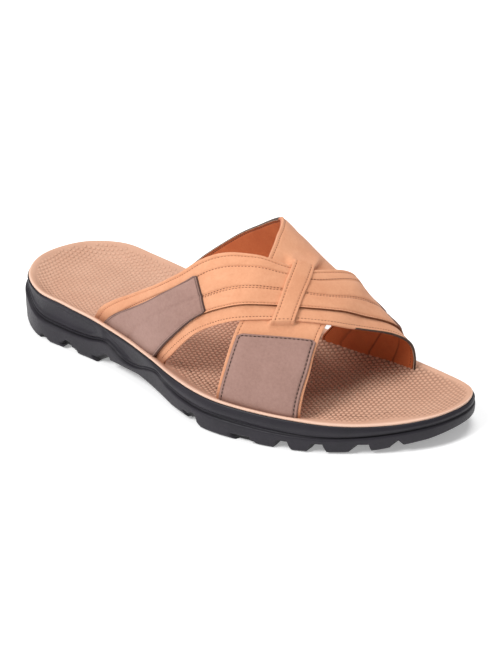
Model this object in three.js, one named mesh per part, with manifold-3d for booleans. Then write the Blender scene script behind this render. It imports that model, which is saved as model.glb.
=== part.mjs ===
// Slide sandal for the right foot. Millimetres, +Z up, toe towards +X, inner (big toe) side towards +Y.
// The origin is the middle of the footprint, on the floor.
import * as THREE from "three";
import { mergeVertices, toCreasedNormals } from "three/addons/utils/BufferGeometryUtils.js";
import Module from "manifold-3d";

const LENGTH = 288;
const BALL_WIDTH = 104;
const HEEL_HEIGHT = 29; // top edge of the black sole above the floor, at the back
const INSTEP_HEIGHT = 74; // crown of the straps above the sole edge, half-way along
const RIM = 1.4; // footbed edge seen above the black sole
const FOOTBED_CORE = 2; // what the footbed gains in thickness away from its rim
const FIT_GAP = 0.3;
const STRAP_THICKNESS = 2.4;
const FRONT_BAND_THICKNESS = 1.5;
const BRIDGE_THICKNESS = 1.5;
const PATCH_THICKNESS = 1;
const WELD = 0.25; // how far layers sink into each other where they are joined
const LATERAL_INSET = 7.2; // inner face of a strap end, in from the sole edge
const MEDIAL_INSET = 8;
const CROWN_SHARE = 0.624; // where the crown sits between the outer and the inner strap ends
const LATERAL_ROUNDNESS = 1.9;
const MEDIAL_ROUNDNESS = 3.03;
const SINK = 4.6; // how far a strap end goes down into its slot

// Outline of the sole: share of the length, then both edges as shares of the ball width.
const HEEL_TIP = { s: 0, y: 0.115 };
const TOE_TIP = { s: 1, y: 0.24 };
const PLAN = [
  { s: 0.03, lateral: -0.11, medial: 0.375 },
  { s: 0.1, lateral: -0.25, medial: 0.51 },
  { s: 0.18, lateral: -0.274, medial: 0.52 },
  { s: 0.26, lateral: -0.289, medial: 0.518 },
  { s: 0.34, lateral: -0.328, medial: 0.51 },
  { s: 0.42, lateral: -0.394, medial: 0.498 },
  { s: 0.5, lateral: -0.465, medial: 0.487 },
  { s: 0.6, lateral: -0.519, medial: 0.476 },
  { s: 0.7, lateral: -0.481, medial: 0.488 },
  { s: 0.8, lateral: -0.385, medial: 0.502 },
  { s: 0.88, lateral: -0.245, medial: 0.488 },
  { s: 0.95, lateral: -0.07, medial: 0.438 },
  { s: 0.985, lateral: 0.067, medial: 0.367 },
];

// Side wall: edge height as a share of the heel height; depth of the tier line below the edge,
// how far the panel above it and the ledge below it stand out, and the dish of the footbed, in mm.
const WALL = [
  { s: 0, edge: 1, line: 7, panel: 0, ledge: 1.4, dish: 3 },
  { s: 0.05, edge: 0.993, line: 8, panel: -0.3, ledge: 1.5, dish: 5 },
  { s: 0.09, edge: 0.983, line: 13.2, panel: -0.7, ledge: 1.6, dish: 6.4 },
  { s: 0.15, edge: 0.957, line: 14.9, panel: -0.9, ledge: 1.6, dish: 6.6 },
  { s: 0.2, edge: 0.912, line: 14, panel: -0.8, ledge: 1.5, dish: 6.6 },
  { s: 0.245, edge: 0.871, line: 12, panel: -0.5, ledge: 1.4, dish: 6.4 },
  { s: 0.29, edge: 0.824, line: 8.2, panel: 0.5, ledge: 1.2, dish: 6 },
  { s: 0.338, edge: 0.791, line: 12.5, panel: -1, ledge: 1, dish: 5.6 },
  { s: 0.38, edge: 0.769, line: 11.2, panel: -0.8, ledge: 0.8, dish: 5.4 },
  { s: 0.42, edge: 0.749, line: 6.8, panel: 0.2, ledge: 0.6, dish: 5.4 },
  { s: 0.45, edge: 0.729, line: 4.4, panel: 0.5, ledge: 0.6, dish: 5.6 },
  { s: 0.48, edge: 0.701, line: 6.3, panel: 0.7, ledge: 0.9, dish: 5.8 },
  { s: 0.52, edge: 0.671, line: 7.6, panel: 0.9, ledge: 1.4, dish: 6 },
  { s: 0.58, edge: 0.658, line: 8.2, panel: 1, ledge: 1.6, dish: 6.2 },
  { s: 0.64, edge: 0.645, line: 8, panel: 1, ledge: 1.6, dish: 6.4 },
  { s: 0.72, edge: 0.618, line: 8.3, panel: 0.9, ledge: 1.5, dish: 6 },
  { s: 0.77, edge: 0.599, line: 8.3, panel: 0.8, ledge: 1.4, dish: 4.6 },
  { s: 0.82, edge: 0.569, line: 7.7, panel: 0.8, ledge: 1.3, dish: 3.4 },
  { s: 0.87, edge: 0.553, line: 6.7, panel: 0.7, ledge: 1.1, dish: 3 },
  { s: 0.93, edge: 0.574, line: 5.2, panel: 0.6, ledge: 0.9, dish: 2.4 },
  { s: 1, edge: 0.668, line: 4.6, panel: 0.5, ledge: 0.7, dish: 1 },
];

// Underside of the lugs above the floor.
const GROUND = [
  { s: 0, z: 3.4 },
  { s: 0.03, z: 1.4 },
  { s: 0.06, z: 0 },
  { s: 0.262, z: 0 },
  { s: 0.287, z: 4.8 },
  { s: 0.39, z: 7.7 },
  { s: 0.46, z: 5.4 },
  { s: 0.5, z: 3.2 },
  { s: 0.54, z: 2.6 },
  { s: 0.567, z: 1.2 },
  { s: 0.585, z: 0 },
  { s: 0.76, z: 0 },
  { s: 0.85, z: 1 },
  { s: 0.9, z: 2.2 },
  { s: 0.94, z: 4.6 },
  { s: 0.97, z: 6.4 },
  { s: 1, z: 9.4 },
];
// Grooves across the underside: station, width at the top, depth, and how far their rear and front
// flanks run out.
const GROOVES = [
  { s: 0.118, width: 1.5, depth: 2, rear: 2, front: 1.5 },
  { s: 0.186, width: 4, depth: 3, rear: 3, front: 1.5 },
  { s: 0.565, width: 3, depth: 2.6, rear: 3, front: 3 },
  { s: 0.696, width: 1.5, depth: 2, rear: 2.5, front: 2 },
  { s: 0.75, width: 6.3, depth: 5.6, rear: 1.8, front: 1.7 },
  { s: 0.811, width: 5.9, depth: 5.5, rear: 2.2, front: 1.6 },
  { s: 0.881, width: 5.6, depth: 4.6, rear: 2.9, front: 0.9 },
  { s: 0.929, width: 1.4, depth: 4, rear: 1.9, front: 2.6 },
];

// How the footbed drops from its edge to its dish.
const DISH = [
  { inset: 0, share: 0 },
  { inset: 2.5, share: 0.02 },
  { inset: 6, share: 0.38 },
  { inset: 11, share: 0.78 },
  { inset: 18, share: 1 },
];

// Height of the arch over which the straps lie, as a share of the instep height.
const ARCH = [
  { s: 0.2, height: 1.116 },
  { s: 0.3, height: 1.106 },
  { s: 0.4, height: 1.135 },
  { s: 0.5, height: 1.12 },
  { s: 0.55, height: 1.061 },
  { s: 0.6, height: 0.955 },
  { s: 0.65, height: 0.812 },
  { s: 0.7, height: 0.686 },
  { s: 0.75, height: 0.563 },
  { s: 0.8, height: 0.403 },
  { s: 0.85, height: 0.282 },
  { s: 0.9, height: 0.253 },
  { s: 1, height: 0.243 },
];

// Edges of the straps: share of the way over the arch from the outer to the inner side, then stations.
// The rear edge of the over strap also stands off the arch, in mm.
const OVER_STRAP = [
  { over: 0, rear: 0.244, front: 0.454, stand: 0 },
  { over: 0.04, rear: 0.262, front: 0.477, stand: 0 },
  { over: 0.08, rear: 0.295, front: 0.499, stand: 0 },
  { over: 0.14, rear: 0.357, front: 0.533, stand: 0 },
  { over: 0.2, rear: 0.415, front: 0.573, stand: 0 },
  { over: 0.27, rear: 0.467, front: 0.619, stand: 0 },
  { over: 0.34, rear: 0.502, front: 0.665, stand: 0 },
  { over: 0.41, rear: 0.54, front: 0.711, stand: 0 },
  { over: 0.48, rear: 0.585, front: 0.75, stand: 0 },
  { over: 0.54, rear: 0.629, front: 0.772, stand: 0 },
  { over: 0.6, rear: 0.664, front: 0.786, stand: 0.15 },
  { over: 0.66, rear: 0.68, front: 0.8, stand: 0.7 },
  { over: 0.72, rear: 0.693, front: 0.814, stand: 1.7 },
  { over: 0.78, rear: 0.703, front: 0.828, stand: 2.2 },
  { over: 0.84, rear: 0.706, front: 0.836, stand: 1.5 },
  { over: 0.9, rear: 0.688, front: 0.839, stand: 0.5 },
  { over: 0.95, rear: 0.66, front: 0.84, stand: 0.2 },
  { over: 1, rear: 0.63, front: 0.839, stand: 0 },
];
const UNDER_STRAP = [
  { over: 0, rear: 0.605, front: 0.769 },
  { over: 0.12, rear: 0.616, front: 0.768 },
  { over: 0.24, rear: 0.621, front: 0.765 },
  { over: 0.34, rear: 0.626, front: 0.757 },
  { over: 0.43, rear: 0.624, front: 0.75 },
  { over: 0.5, rear: 0.616, front: 0.747 },
  { over: 0.56, rear: 0.608, front: 0.745 },
  { over: 0.6, rear: 0.602, front: 0.741 },
  { over: 0.64, rear: 0.594, front: 0.736 },
  { over: 0.69, rear: 0.584, front: 0.73 },
  { over: 0.74, rear: 0.567, front: 0.72 },
  { over: 0.79, rear: 0.54, front: 0.698 },
  { over: 0.84, rear: 0.487, front: 0.656 },
  { over: 0.89, rear: 0.408, front: 0.606 },
  { over: 0.94, rear: 0.334, front: 0.552 },
  { over: 0.97, rear: 0.298, front: 0.517 },
  { over: 1, rear: 0.264, front: 0.483 },
];

const wasm = await Module();
wasm.setup();

// A smooth function of one column of a table against another.
function column(table, key, value) {
  const interpolant = new THREE.CubicInterpolant(
    table.map((row) => row[key]),
    table.map((row) => row[value]),
    1,
  );
  return (t) => interpolant.evaluate(t)[0];
}

// The same with straight runs between the rows, for what has to be exactly flat.
function straight(table, key, value) {
  const interpolant = new THREE.LinearInterpolant(
    table.map((row) => row[key]),
    table.map((row) => row[value]),
    1,
  );
  return (t) => interpolant.evaluate(t)[0];
}

const stationOf = (x) => THREE.MathUtils.clamp(x / LENGTH + 0.5, 0, 1);
const xOf = (s) => (s - 0.5) * LENGTH;
const edgeShare = column(WALL, "s", "edge");
const edgeZ = (s) => edgeShare(s) * HEEL_HEIGHT;
const lineDepth = column(WALL, "s", "line");
const panelOut = column(WALL, "s", "panel");
const ledgeOut = column(WALL, "s", "ledge");
const dishDepth = column(WALL, "s", "dish");
const groundZ = straight(GROUND, "s", "z");
const dishShare = straight(DISH, "inset", "share");
const archShare = column(ARCH, "s", "height");
const lateralShare = column(PLAN, "s", "lateral");
const medialShare = column(PLAN, "s", "medial");

const STEPS_PER_ROW = 3;
const HALF_LOOP = (PLAN.length + 1) * STEPS_PER_ROW;
const INNER_NODES = [0.25, 0.5, 0.75];
const SPINE_START = 0.16;
const SPINE_END = 0.86;

// The outline as a closed loop: heel tip, outer side, toe tip, inner side.
const outlineCurve = new THREE.CatmullRomCurve3(
  [
    new THREE.Vector3(xOf(HEEL_TIP.s), HEEL_TIP.y * BALL_WIDTH, 0),
    ...PLAN.map((row) => new THREE.Vector3(xOf(row.s), row.lateral * BALL_WIDTH, 0)),
    new THREE.Vector3(xOf(TOE_TIP.s), TOE_TIP.y * BALL_WIDTH, 0),
    ...PLAN.toReversed().map((row) => new THREE.Vector3(xOf(row.s), row.medial * BALL_WIDTH, 0)),
  ],
  true,
);
const OUTLINE = outlineCurve.getPoints(2 * HALF_LOOP).slice(0, -1);

// One loop, moved in from the outline by inset(s) and set at height(s).
function loop(inset, height) {
  return OUTLINE.map((point) => {
    const s = stationOf(point.x);
    const spine = THREE.MathUtils.clamp(s, SPINE_START, SPINE_END);
    const spineY = ((lateralShare(spine) + medialShare(spine)) / 2) * BALL_WIDTH;
    const centre = new THREE.Vector3(xOf(spine), spineY, 0);
    const moved = point.clone().lerp(centre, inset(s) / point.distanceTo(centre));
    return moved.setZ(height(stationOf(moved.x)));
  });
}

// A closed solid through loops stacked from the middle of its top, out over the side, to the middle below.
function loopSolid(loops, topZ, bottomZ) {
  const points = loops.flat();
  const faces = [];
  const n = 2 * HALF_LOOP;
  for (let k = 0; k + 1 < loops.length; k++) {
    for (let i = 0; i < n; i++) {
      const a = k * n + i;
      const b = k * n + ((i + 1) % n);
      faces.push([a, a + n, b], [b, a + n, b + n]);
    }
  }
  const cap = (start, height, flip) => {
    const rows = [[start]];
    for (let i = 1; i < HALF_LOOP; i++) {
      const lateral = points[start + i];
      const medial = points[start + n - i];
      const inner = INNER_NODES.map((share) => {
        const node = lateral.clone().lerp(medial, share);
        points.push(node.setZ(height(stationOf(node.x))));
        return points.length - 1;
      });
      rows.push([start + i, ...inner, start + n - i]);
    }
    rows.push([start + HALF_LOOP]);
    const pair = (row, j) => (row.length > 1 ? [row[j], row[j + 1]] : [row[0], row[0]]);
    for (let i = 0; i + 1 < rows.length; i++) {
      for (let j = 0; j <= INNER_NODES.length; j++) {
        const here = pair(rows[i], j);
        const next = pair(rows[i + 1], j);
        for (const face of [[here[0], next[0], here[1]], [here[1], next[0], next[1]]]) {
          if (new Set(face).size === 3) faces.push(flip ? face.toReversed() : face);
        }
      }
    }
  };
  cap(0, topZ, false);
  cap((loops.length - 1) * n, bottomZ, true);
  return solidOf(points, faces);
}

function solidOf(points, faces) {
  const geometry = new THREE.BufferGeometry().setFromPoints(points).setIndex(faces.flat());
  return manifoldOf(geometry);
}

function manifoldOf(geometry) {
  const plain = geometry.clone();
  plain.deleteAttribute("normal");
  plain.deleteAttribute("uv");
  const merged = mergeVertices(plain, 1e-4);
  const solid = new wasm.Manifold(
    new wasm.Mesh({
      numProp: 3,
      vertProperties: Float32Array.from(merged.attributes.position.array),
      triVerts: Uint32Array.from(merged.index.array),
    }),
  );
  return solid;
}

// Footbed and the seat it lies in.
const footbedTop = (inset) => (s) => edgeZ(s) + RIM - dishDepth(s) * dishShare(inset);
const footbedBottom = (inset) => (s) =>
  footbedTop(inset)(s) - (RIM - FIT_GAP) - FOOTBED_CORE * dishShare(inset);
const seat = (inset) => (s) => footbedBottom(inset)(s) - FIT_GAP;
const insets = DISH.map((row) => row.inset).filter((inset) => inset > 0);
const flatInset = insets.at(-1);
const still = (value) => () => value;

const footbedLoops = [
  ...insets.toReversed().map((inset) => loop(still(inset), footbedTop(inset))),
  loop(still(1.3), footbedTop(0)),
  loop(still(0.8), (s) => footbedTop(0)(s) - 0.6),
  loop(still(0.9), footbedBottom(0)),
  ...insets.map((inset) => loop(still(inset), footbedBottom(inset))),
];

// Side wall of the outsole: rounded edge, panel, tier line, ledge, lugs.
const lineZ = (s) => edgeZ(s) - lineDepth(s);
const tierHeight = (s) => lineZ(s) - groundZ(s);
const outsoleLoops = [
  ...insets.toReversed().map((inset) => loop(still(inset), seat(inset))),
  loop(still(0.7), edgeZ),
  loop(still(0), (s) => edgeZ(s) - 0.8),
  loop((s) => -panelOut(s), (s) => edgeZ(s) - 0.5 * lineDepth(s)),
  loop((s) => -0.4 * panelOut(s), (s) => lineZ(s) + 0.9),
  loop((s) => 0.4 - 0.3 * ledgeOut(s), (s) => lineZ(s) + 0.3),
  loop((s) => -ledgeOut(s), (s) => lineZ(s) - 0.4),
  loop((s) => -1.1 * ledgeOut(s), (s) => lineZ(s) - 0.4 * tierHeight(s)),
  loop((s) => -0.8 * ledgeOut(s), (s) => groundZ(s) + 0.15 * tierHeight(s)),
  loop(still(0.1), groundZ),
  loop(still(6), groundZ),
];

// A groove across the underside, its flanks slanted.
function groove({ s, width, depth, rear, front }) {
  const profile = new THREE.Shape([
    new THREE.Vector2(-width / 2 - rear - rear / depth, -1),
    new THREE.Vector2(width / 2 + front + front / depth, -1),
    new THREE.Vector2(width / 2, depth),
    new THREE.Vector2(-width / 2, depth),
  ]);
  const bar = new THREE.ExtrudeGeometry(profile, { depth: 2 * BALL_WIDTH, bevelEnabled: false });
  bar.rotateX(Math.PI / 2);
  bar.translate(xOf(s), BALL_WIDTH, groundZ(s));
  return manifoldOf(bar);
}

const outsoleBody = loopSolid(outsoleLoops, seat(flatInset), groundZ);

// The arch: a point at station s, a share of the way over, before any thickness.
function archPoint(s, over) {
  const lateral = lateralShare(s) * BALL_WIDTH + LATERAL_INSET;
  const medial = medialShare(s) * BALL_WIDTH - MEDIAL_INSET;
  const crown = THREE.MathUtils.lerp(lateral, medial, CROWN_SHARE);
  const isLateral = over < CROWN_SHARE;
  const angle = ((isLateral ? over / CROWN_SHARE : (1 - over) / (1 - CROWN_SHARE)) * Math.PI) / 2;
  const roundness = isLateral ? LATERAL_ROUNDNESS : MEDIAL_ROUNDNESS;
  const radius = (Math.cos(angle) ** roundness + Math.sin(angle) ** roundness) ** (-1 / roundness);
  const reach = Math.cos(angle) * radius * ((isLateral ? lateral : medial) - crown);
  const rise = Math.sin(angle) * radius * archShare(s) * INSTEP_HEIGHT;
  return new THREE.Vector3(xOf(s), crown + reach, edgeZ(s) + 0.2 + rise);
}

// The same point moved out by off, square to the arch, and straight down by sink.
function sheetPoint(s, over, off, sink) {
  const step = 0.002;
  const here = archPoint(s, over);
  const across = archPoint(s, Math.min(over + step, 1)).sub(archPoint(s, Math.max(over - step, 0)));
  const along = archPoint(s + step, over).sub(archPoint(s - step, over));
  const out = along.cross(across).normalize();
  if (over === 0 || over === 1) out.setZ(0).normalize();
  return here.addScaledVector(out, off).add(new THREE.Vector3(0, 0, -sink));
}

// A closed sheet: rows of [over, sink] against shares of the width between two edges.
function sheet({ rows, widths, edges, over = (share) => share, inner, outer }) {
  const points = [];
  for (const side of [inner, outer]) {
    for (const [share, sink] of rows) {
      for (const width of widths) {
        const t = over(share, width);
        const s = THREE.MathUtils.lerp(edges.rear(t), edges.front(t), width);
        points.push(sheetPoint(s, t, side(s, t, width), sink));
      }
    }
  }
  const across = widths.length;
  const layer = rows.length * across;
  const faces = [];
  const quad = (a, b, c, d) => faces.push([a, b, c], [a, c, d]);
  for (let i = 0; i + 1 < rows.length; i++) {
    for (let j = 0; j + 1 < across; j++) {
      const a = i * across + j;
      quad(a, a + 1, a + across + 1, a + across);
      quad(a + layer, a + across + layer, a + across + 1 + layer, a + 1 + layer);
    }
    const first = i * across;
    const last = first + across - 1;
    quad(first, first + across, first + across + layer, first + layer);
    quad(last, last + layer, last + across + layer, last + across);
  }
  for (let j = 0; j + 1 < across; j++) {
    const end = layer - across + j;
    quad(j, j + layer, j + 1 + layer, j + 1);
    quad(end, end + 1, end + 1 + layer, end + layer);
  }
  const solid = solidOf(points, faces);
  return solid.volume() > 0 ? solid : solidOf(points, faces.map((face) => face.toReversed()));
}

const edgesOf = (table) => ({
  rear: column(table, "over", "rear"),
  front: column(table, "over", "front"),
});
const overStrap = edgesOf(OVER_STRAP);
const underStrap = edgesOf(UNDER_STRAP);

// The over strap rises by the thickness of the under strap where it crosses it.
const CROSSING_RUN = 0.05;
const stand = column(OVER_STRAP, "over", "stand");
function lift(s, over, width) {
  const before = THREE.MathUtils.smoothstep(s, underStrap.rear(over) - CROSSING_RUN, underStrap.rear(over));
  const after = THREE.MathUtils.smoothstep(s, underStrap.front(over), underStrap.front(over) + CROSSING_RUN);
  return (STRAP_THICKNESS - WELD) * before * (1 - after) + stand(over) * (1 - width);
}

const STRAP_STEPS = 28;
const strapStations = Array.from({ length: STRAP_STEPS + 1 }, (_, k) => k / STRAP_STEPS);
const strapRows = (sink) => [[0, sink], ...strapStations.map((over) => [over, 0]), [1, sink]];
const PANEL_EDGE = 0.78; // where the main panel of the over strap ends on its front band

// A strap, or with spare its outline grown outwards to keep its neighbours clear of it.
const overBody = (spare) =>
  sheet({
    rows: strapRows(SINK + spare),
    widths: [0, 0.16, 0.32, 0.48, 0.64, PANEL_EDGE, PANEL_EDGE + 0.01, 0.9, 1],
    edges: overStrap,
    inner: (s, over, width) => lift(s, over, width) - 10 * spare,
    outer: (s, over, width) =>
      lift(s, over, width) + (width > PANEL_EDGE ? FRONT_BAND_THICKNESS : STRAP_THICKNESS) + spare,
  });
const underBody = (spare) =>
  sheet({
    rows: strapRows(SINK + spare),
    widths: [0, 0.18, 0.36, 0.5, 0.64, 0.82, 1],
    edges: underStrap,
    inner: still(-10 * spare),
    outer: still(STRAP_THICKNESS + spare),
  });

// The centre strip of the under strap comes up through a window and over the other strap.
// Its two edges are shares of the strap's width, at its foot and at its head.
const BRIDGE = {
  foot: { over: 0.347, rear: 0.352, front: 0.634 },
  head: { over: 0.576, rear: 0.28, front: 0.554 },
  slant: 0.052,
  ramp: 0.05,
};
const bridgeEdge = (key, spare) => (over) => {
  const along = (over - BRIDGE.foot.over) / (BRIDGE.head.over - BRIDGE.foot.over);
  const share = THREE.MathUtils.lerp(BRIDGE.foot[key], BRIDGE.head[key], along) + spare;
  return THREE.MathUtils.lerp(underStrap.rear(over), underStrap.front(over), share);
};
const bridgeEdges = (spare) => ({ rear: bridgeEdge("rear", -spare), front: bridgeEdge("front", spare) });
const bridgeOver = (share, width) => share + BRIDGE.slant * width;
const bridgeRise = (over, width) => {
  const share = over - BRIDGE.slant * width;
  const up = THREE.MathUtils.smoothstep(share, BRIDGE.foot.over - BRIDGE.ramp, BRIDGE.foot.over - 0.004);
  const down = THREE.MathUtils.smoothstep(share, BRIDGE.head.over + 0.004, BRIDGE.head.over + BRIDGE.ramp);
  return up * (1 - down);
};
const alongBridge = (t) => THREE.MathUtils.lerp(BRIDGE.foot.over, BRIDGE.head.over, t);
const windowCut = sheet({
  rows: [0.005, 0.25, 0.5, 0.75, 0.995].map((t) => [alongBridge(t), 0]),
  widths: [0, 1],
  edges: bridgeEdges(0.015),
  over: bridgeOver,
  inner: still(-2),
  outer: still(2 * STRAP_THICKNESS),
});
const bridgeRows = [
  -0.05, -0.037, -0.022, -0.004, 0.04, 0.085, 0.13, 0.175, 0.215, 0.236, 0.25, 0.264, 0.279,
];
const bridge = sheet({
  rows: bridgeRows.map((share) => [BRIDGE.foot.over + share, 0]),
  widths: [0, 0.5, 1],
  edges: bridgeEdges(0),
  over: bridgeOver,
  inner: (s, over, width) => 0.6 + bridgeRise(over, width) * (2 * (STRAP_THICKNESS - WELD) - 0.6),
  outer: (s, over, width) =>
    STRAP_THICKNESS + 0.05 + bridgeRise(over, width) * (STRAP_THICKNESS - 2 * WELD + BRIDGE_THICKNESS),
});
// Pockets shut in between the joined layers are filled.
const joined = wasm.Manifold.union([overBody(0), underBody(0).subtract(windowCut), bridge]);
const upper = wasm.Manifold.compose(joined.decompose().filter((body) => body.volume() > 0));

// Patches on the strap ends: the ends on the outer side slope at the top, and lie a small gap off the strap.
const PATCHES = [
  { name: "lateral_rear_patch", over: 0, edges: overStrap, from: 0.17, to: 0.82, top: 0.324, slope: -0.13 },
  { name: "lateral_front_patch", over: 0, edges: underStrap, from: 0.035, to: 0.965, top: 0.23, slope: 0.16 },
  { name: "medial_front_patch", over: 1, edges: overStrap, from: 0.1, to: 0.77, top: 0.175, slope: 0 },
  { name: "medial_rear_patch", over: 1, edges: underStrap, from: 0.06, to: 0.94, top: 0.167, slope: 0 },
];
const EIGHTHS = [0, 0.125, 0.25, 0.375, 0.5, 0.625, 0.75, 0.875, 1];
const PATCH_ROWS = [[0, SINK], ...[0, 0.15, 0.3, 0.45, 0.6, 0.8, 1].map((share) => [share, 0])];
const patchBody = ({ over, edges, from, to, top, slope }) =>
  sheet({
    rows: PATCH_ROWS,
    widths: EIGHTHS.map((share) => THREE.MathUtils.lerp(from, to, share)),
    edges,
    over: (share, width) => Math.abs(over - share * (top + slope * width)),
    inner: (s, at, width) => (edges === overStrap ? lift(s, at, width) : 0) + 1,
    outer: (s, at, width) =>
      (edges === overStrap ? lift(s, at, width) : 0) + STRAP_THICKNESS + FIT_GAP + PATCH_THICKNESS,
  });
const clearOfStraps = [overBody(FIT_GAP), underBody(FIT_GAP)];
const patches = PATCHES.map((spec) => ({
  name: spec.name,
  solid: patchBody(spec).subtract(clearOfStraps[spec.edges === overStrap ? 0 : 1]),
}));

// Slots through the footbed into the outsole, for the strap ends and the patches on them.
const SLOT_RISE = 8;
const SLOT_MARGIN = 0.03;
const PATCH_SLOT_REACH = STRAP_THICKNESS + 2.5 * FIT_GAP + PATCH_THICKNESS;
const slot = (over, edges, from, to, inner, outer) =>
  sheet({
    rows: [
      [over, SINK + FIT_GAP],
      [over, -SLOT_RISE],
    ],
    widths: EIGHTHS.map((share) => THREE.MathUtils.lerp(from, to, share)),
    edges,
    inner: still(inner),
    outer: still(outer),
  });
const slots = PATCHES.flatMap(({ over, edges, from, to }) => [
  slot(over, edges, -SLOT_MARGIN, 1 + SLOT_MARGIN, -FIT_GAP, STRAP_THICKNESS + FIT_GAP),
  slot(over, edges, from - SLOT_MARGIN, to + SLOT_MARGIN, 0, PATCH_SLOT_REACH),
]);
const footbedBody = loopSolid(footbedLoops, footbedTop(flatInset), footbedBottom(flatInset));
const footbed = footbedBody.subtract(wasm.Manifold.union(slots));
const outsole = outsoleBody.subtract(wasm.Manifold.union([...slots, ...GROOVES.map(groove)]));

const group = new THREE.Group();
group.name = "slide_sandal";
function add(name, solid, color, roughness) {
  const made = solid.getMesh();
  const geometry = new THREE.BufferGeometry();
  geometry.setAttribute("position", new THREE.BufferAttribute(made.vertProperties, 3));
  geometry.setIndex(new THREE.BufferAttribute(made.triVerts, 1));
  const material = new THREE.MeshStandardMaterial({ color, roughness, metalness: 0 });
  const mesh = new THREE.Mesh(toCreasedNormals(geometry, 0.6), material);
  mesh.name = name;
  group.add(mesh);
}
add("outsole", outsole, 0x46444b, 0.6);
add("footbed", footbed, 0xc69e80, 0.8);
add("upper", upper, 0xe0a274, 0.9);
for (const entry of patches) add(entry.name, entry.solid, 0x94796b, 0.9);

export default group;
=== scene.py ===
# %% [markdown]
# A slide sandal for the right foot: a moulded rubber sole with cross grooves, a dimpled footbed,
# and two nubuck straps that cross over the instep, with a short bridge that comes up over the crossing.
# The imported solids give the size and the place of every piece. This script builds the finer pieces
# around them. It works in millimetres and turns them into metres when a mesh is made.

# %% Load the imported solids
import math

import bpy
import numpy as np
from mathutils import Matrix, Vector


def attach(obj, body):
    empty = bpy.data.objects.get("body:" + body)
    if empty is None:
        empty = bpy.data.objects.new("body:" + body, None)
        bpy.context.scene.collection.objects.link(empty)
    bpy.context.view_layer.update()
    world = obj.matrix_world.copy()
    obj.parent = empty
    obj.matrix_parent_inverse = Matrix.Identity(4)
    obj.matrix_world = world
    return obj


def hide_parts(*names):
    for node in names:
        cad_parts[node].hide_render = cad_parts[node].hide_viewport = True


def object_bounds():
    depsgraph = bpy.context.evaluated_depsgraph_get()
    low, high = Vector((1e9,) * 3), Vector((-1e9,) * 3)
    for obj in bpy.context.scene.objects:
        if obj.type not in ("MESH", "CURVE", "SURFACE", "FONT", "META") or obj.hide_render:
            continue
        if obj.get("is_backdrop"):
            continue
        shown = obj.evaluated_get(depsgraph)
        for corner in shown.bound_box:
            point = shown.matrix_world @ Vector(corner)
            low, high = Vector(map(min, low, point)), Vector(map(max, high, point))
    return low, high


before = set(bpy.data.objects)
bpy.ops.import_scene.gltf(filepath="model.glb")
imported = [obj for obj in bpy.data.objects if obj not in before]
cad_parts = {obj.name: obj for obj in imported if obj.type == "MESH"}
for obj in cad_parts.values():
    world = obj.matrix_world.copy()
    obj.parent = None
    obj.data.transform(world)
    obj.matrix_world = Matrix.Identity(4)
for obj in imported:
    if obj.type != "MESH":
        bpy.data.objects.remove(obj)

solids_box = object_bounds()
print("nodes:", sorted(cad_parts))

# %% Sizes of the sandal, in millimetres
MM = 0.001
LENGTH = 288.0
BALL_WIDTH = 104.0
HEEL_HEIGHT = 29.0
INSTEP_HEIGHT = 74.0
RIM = 1.4
FOOTBED_CORE = 2.0
FIT_GAP = 0.3
STRAP_THICKNESS = 2.4
BAND_THICKNESS = 1.5
BRIDGE_THICKNESS = 1.5
PATCH_THICKNESS = 1.0
WELD = 0.25
LATERAL_INSET = 7.2
MEDIAL_INSET = 8.0
CROWN_SHARE = 0.624
LATERAL_ROUNDNESS = 1.9
MEDIAL_ROUNDNESS = 3.03
SINK = 4.6

# %% [markdown]
# The sandal's main curves are tables of a few rows: the outline of the sole, its side wall, the line it
# stands on, the arch of the instep, and the two edges of each strap. Each row starts with a share of the
# length (0 at the heel, 1 at the toe) or of the way over the arch (0 outer side, 1 inner side). A smooth
# curve through the rows gives every value between them.

# %% Tables
HEEL_TIP = (0.0, 0.115)
TOE_TIP = (1.0, 0.24)
# station, outer edge, inner edge, as shares of the ball width
PLAN = [
    (0.03, -0.11, 0.375), (0.1, -0.25, 0.51), (0.18, -0.274, 0.52), (0.26, -0.289, 0.518),
    (0.34, -0.328, 0.51), (0.42, -0.394, 0.498), (0.5, -0.465, 0.487), (0.6, -0.519, 0.476),
    (0.7, -0.481, 0.488), (0.8, -0.385, 0.502), (0.88, -0.245, 0.488), (0.95, -0.07, 0.438),
    (0.985, 0.067, 0.367),
]
# station, edge height (share of the heel height), tier line below the edge, panel and ledge standing out, dish
WALL = [
    (0, 1, 7, 0, 1.4, 3), (0.05, 0.993, 8, -0.3, 1.5, 5), (0.09, 0.983, 13.2, -0.7, 1.6, 6.4),
    (0.15, 0.957, 14.9, -0.9, 1.6, 6.6), (0.2, 0.912, 14, -0.8, 1.5, 6.6), (0.245, 0.871, 12, -0.5, 1.4, 6.4),
    (0.29, 0.824, 8.2, 0.5, 1.2, 6), (0.338, 0.791, 12.5, -1, 1, 5.6), (0.38, 0.769, 11.2, -0.8, 0.8, 5.4),
    (0.42, 0.749, 6.8, 0.2, 0.6, 5.4), (0.45, 0.729, 4.4, 0.5, 0.6, 5.6), (0.48, 0.701, 6.3, 0.7, 0.9, 5.8),
    (0.52, 0.671, 7.6, 0.9, 1.4, 6), (0.58, 0.658, 8.2, 1, 1.6, 6.2), (0.64, 0.645, 8, 1, 1.6, 6.4),
    (0.72, 0.618, 8.3, 0.9, 1.5, 6), (0.77, 0.599, 8.3, 0.8, 1.4, 4.6), (0.82, 0.569, 7.7, 0.8, 1.3, 3.4),
    (0.87, 0.553, 6.7, 0.7, 1.1, 3), (0.93, 0.574, 5.2, 0.6, 0.9, 2.4), (1, 0.668, 4.6, 0.5, 0.7, 1),
]
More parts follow.
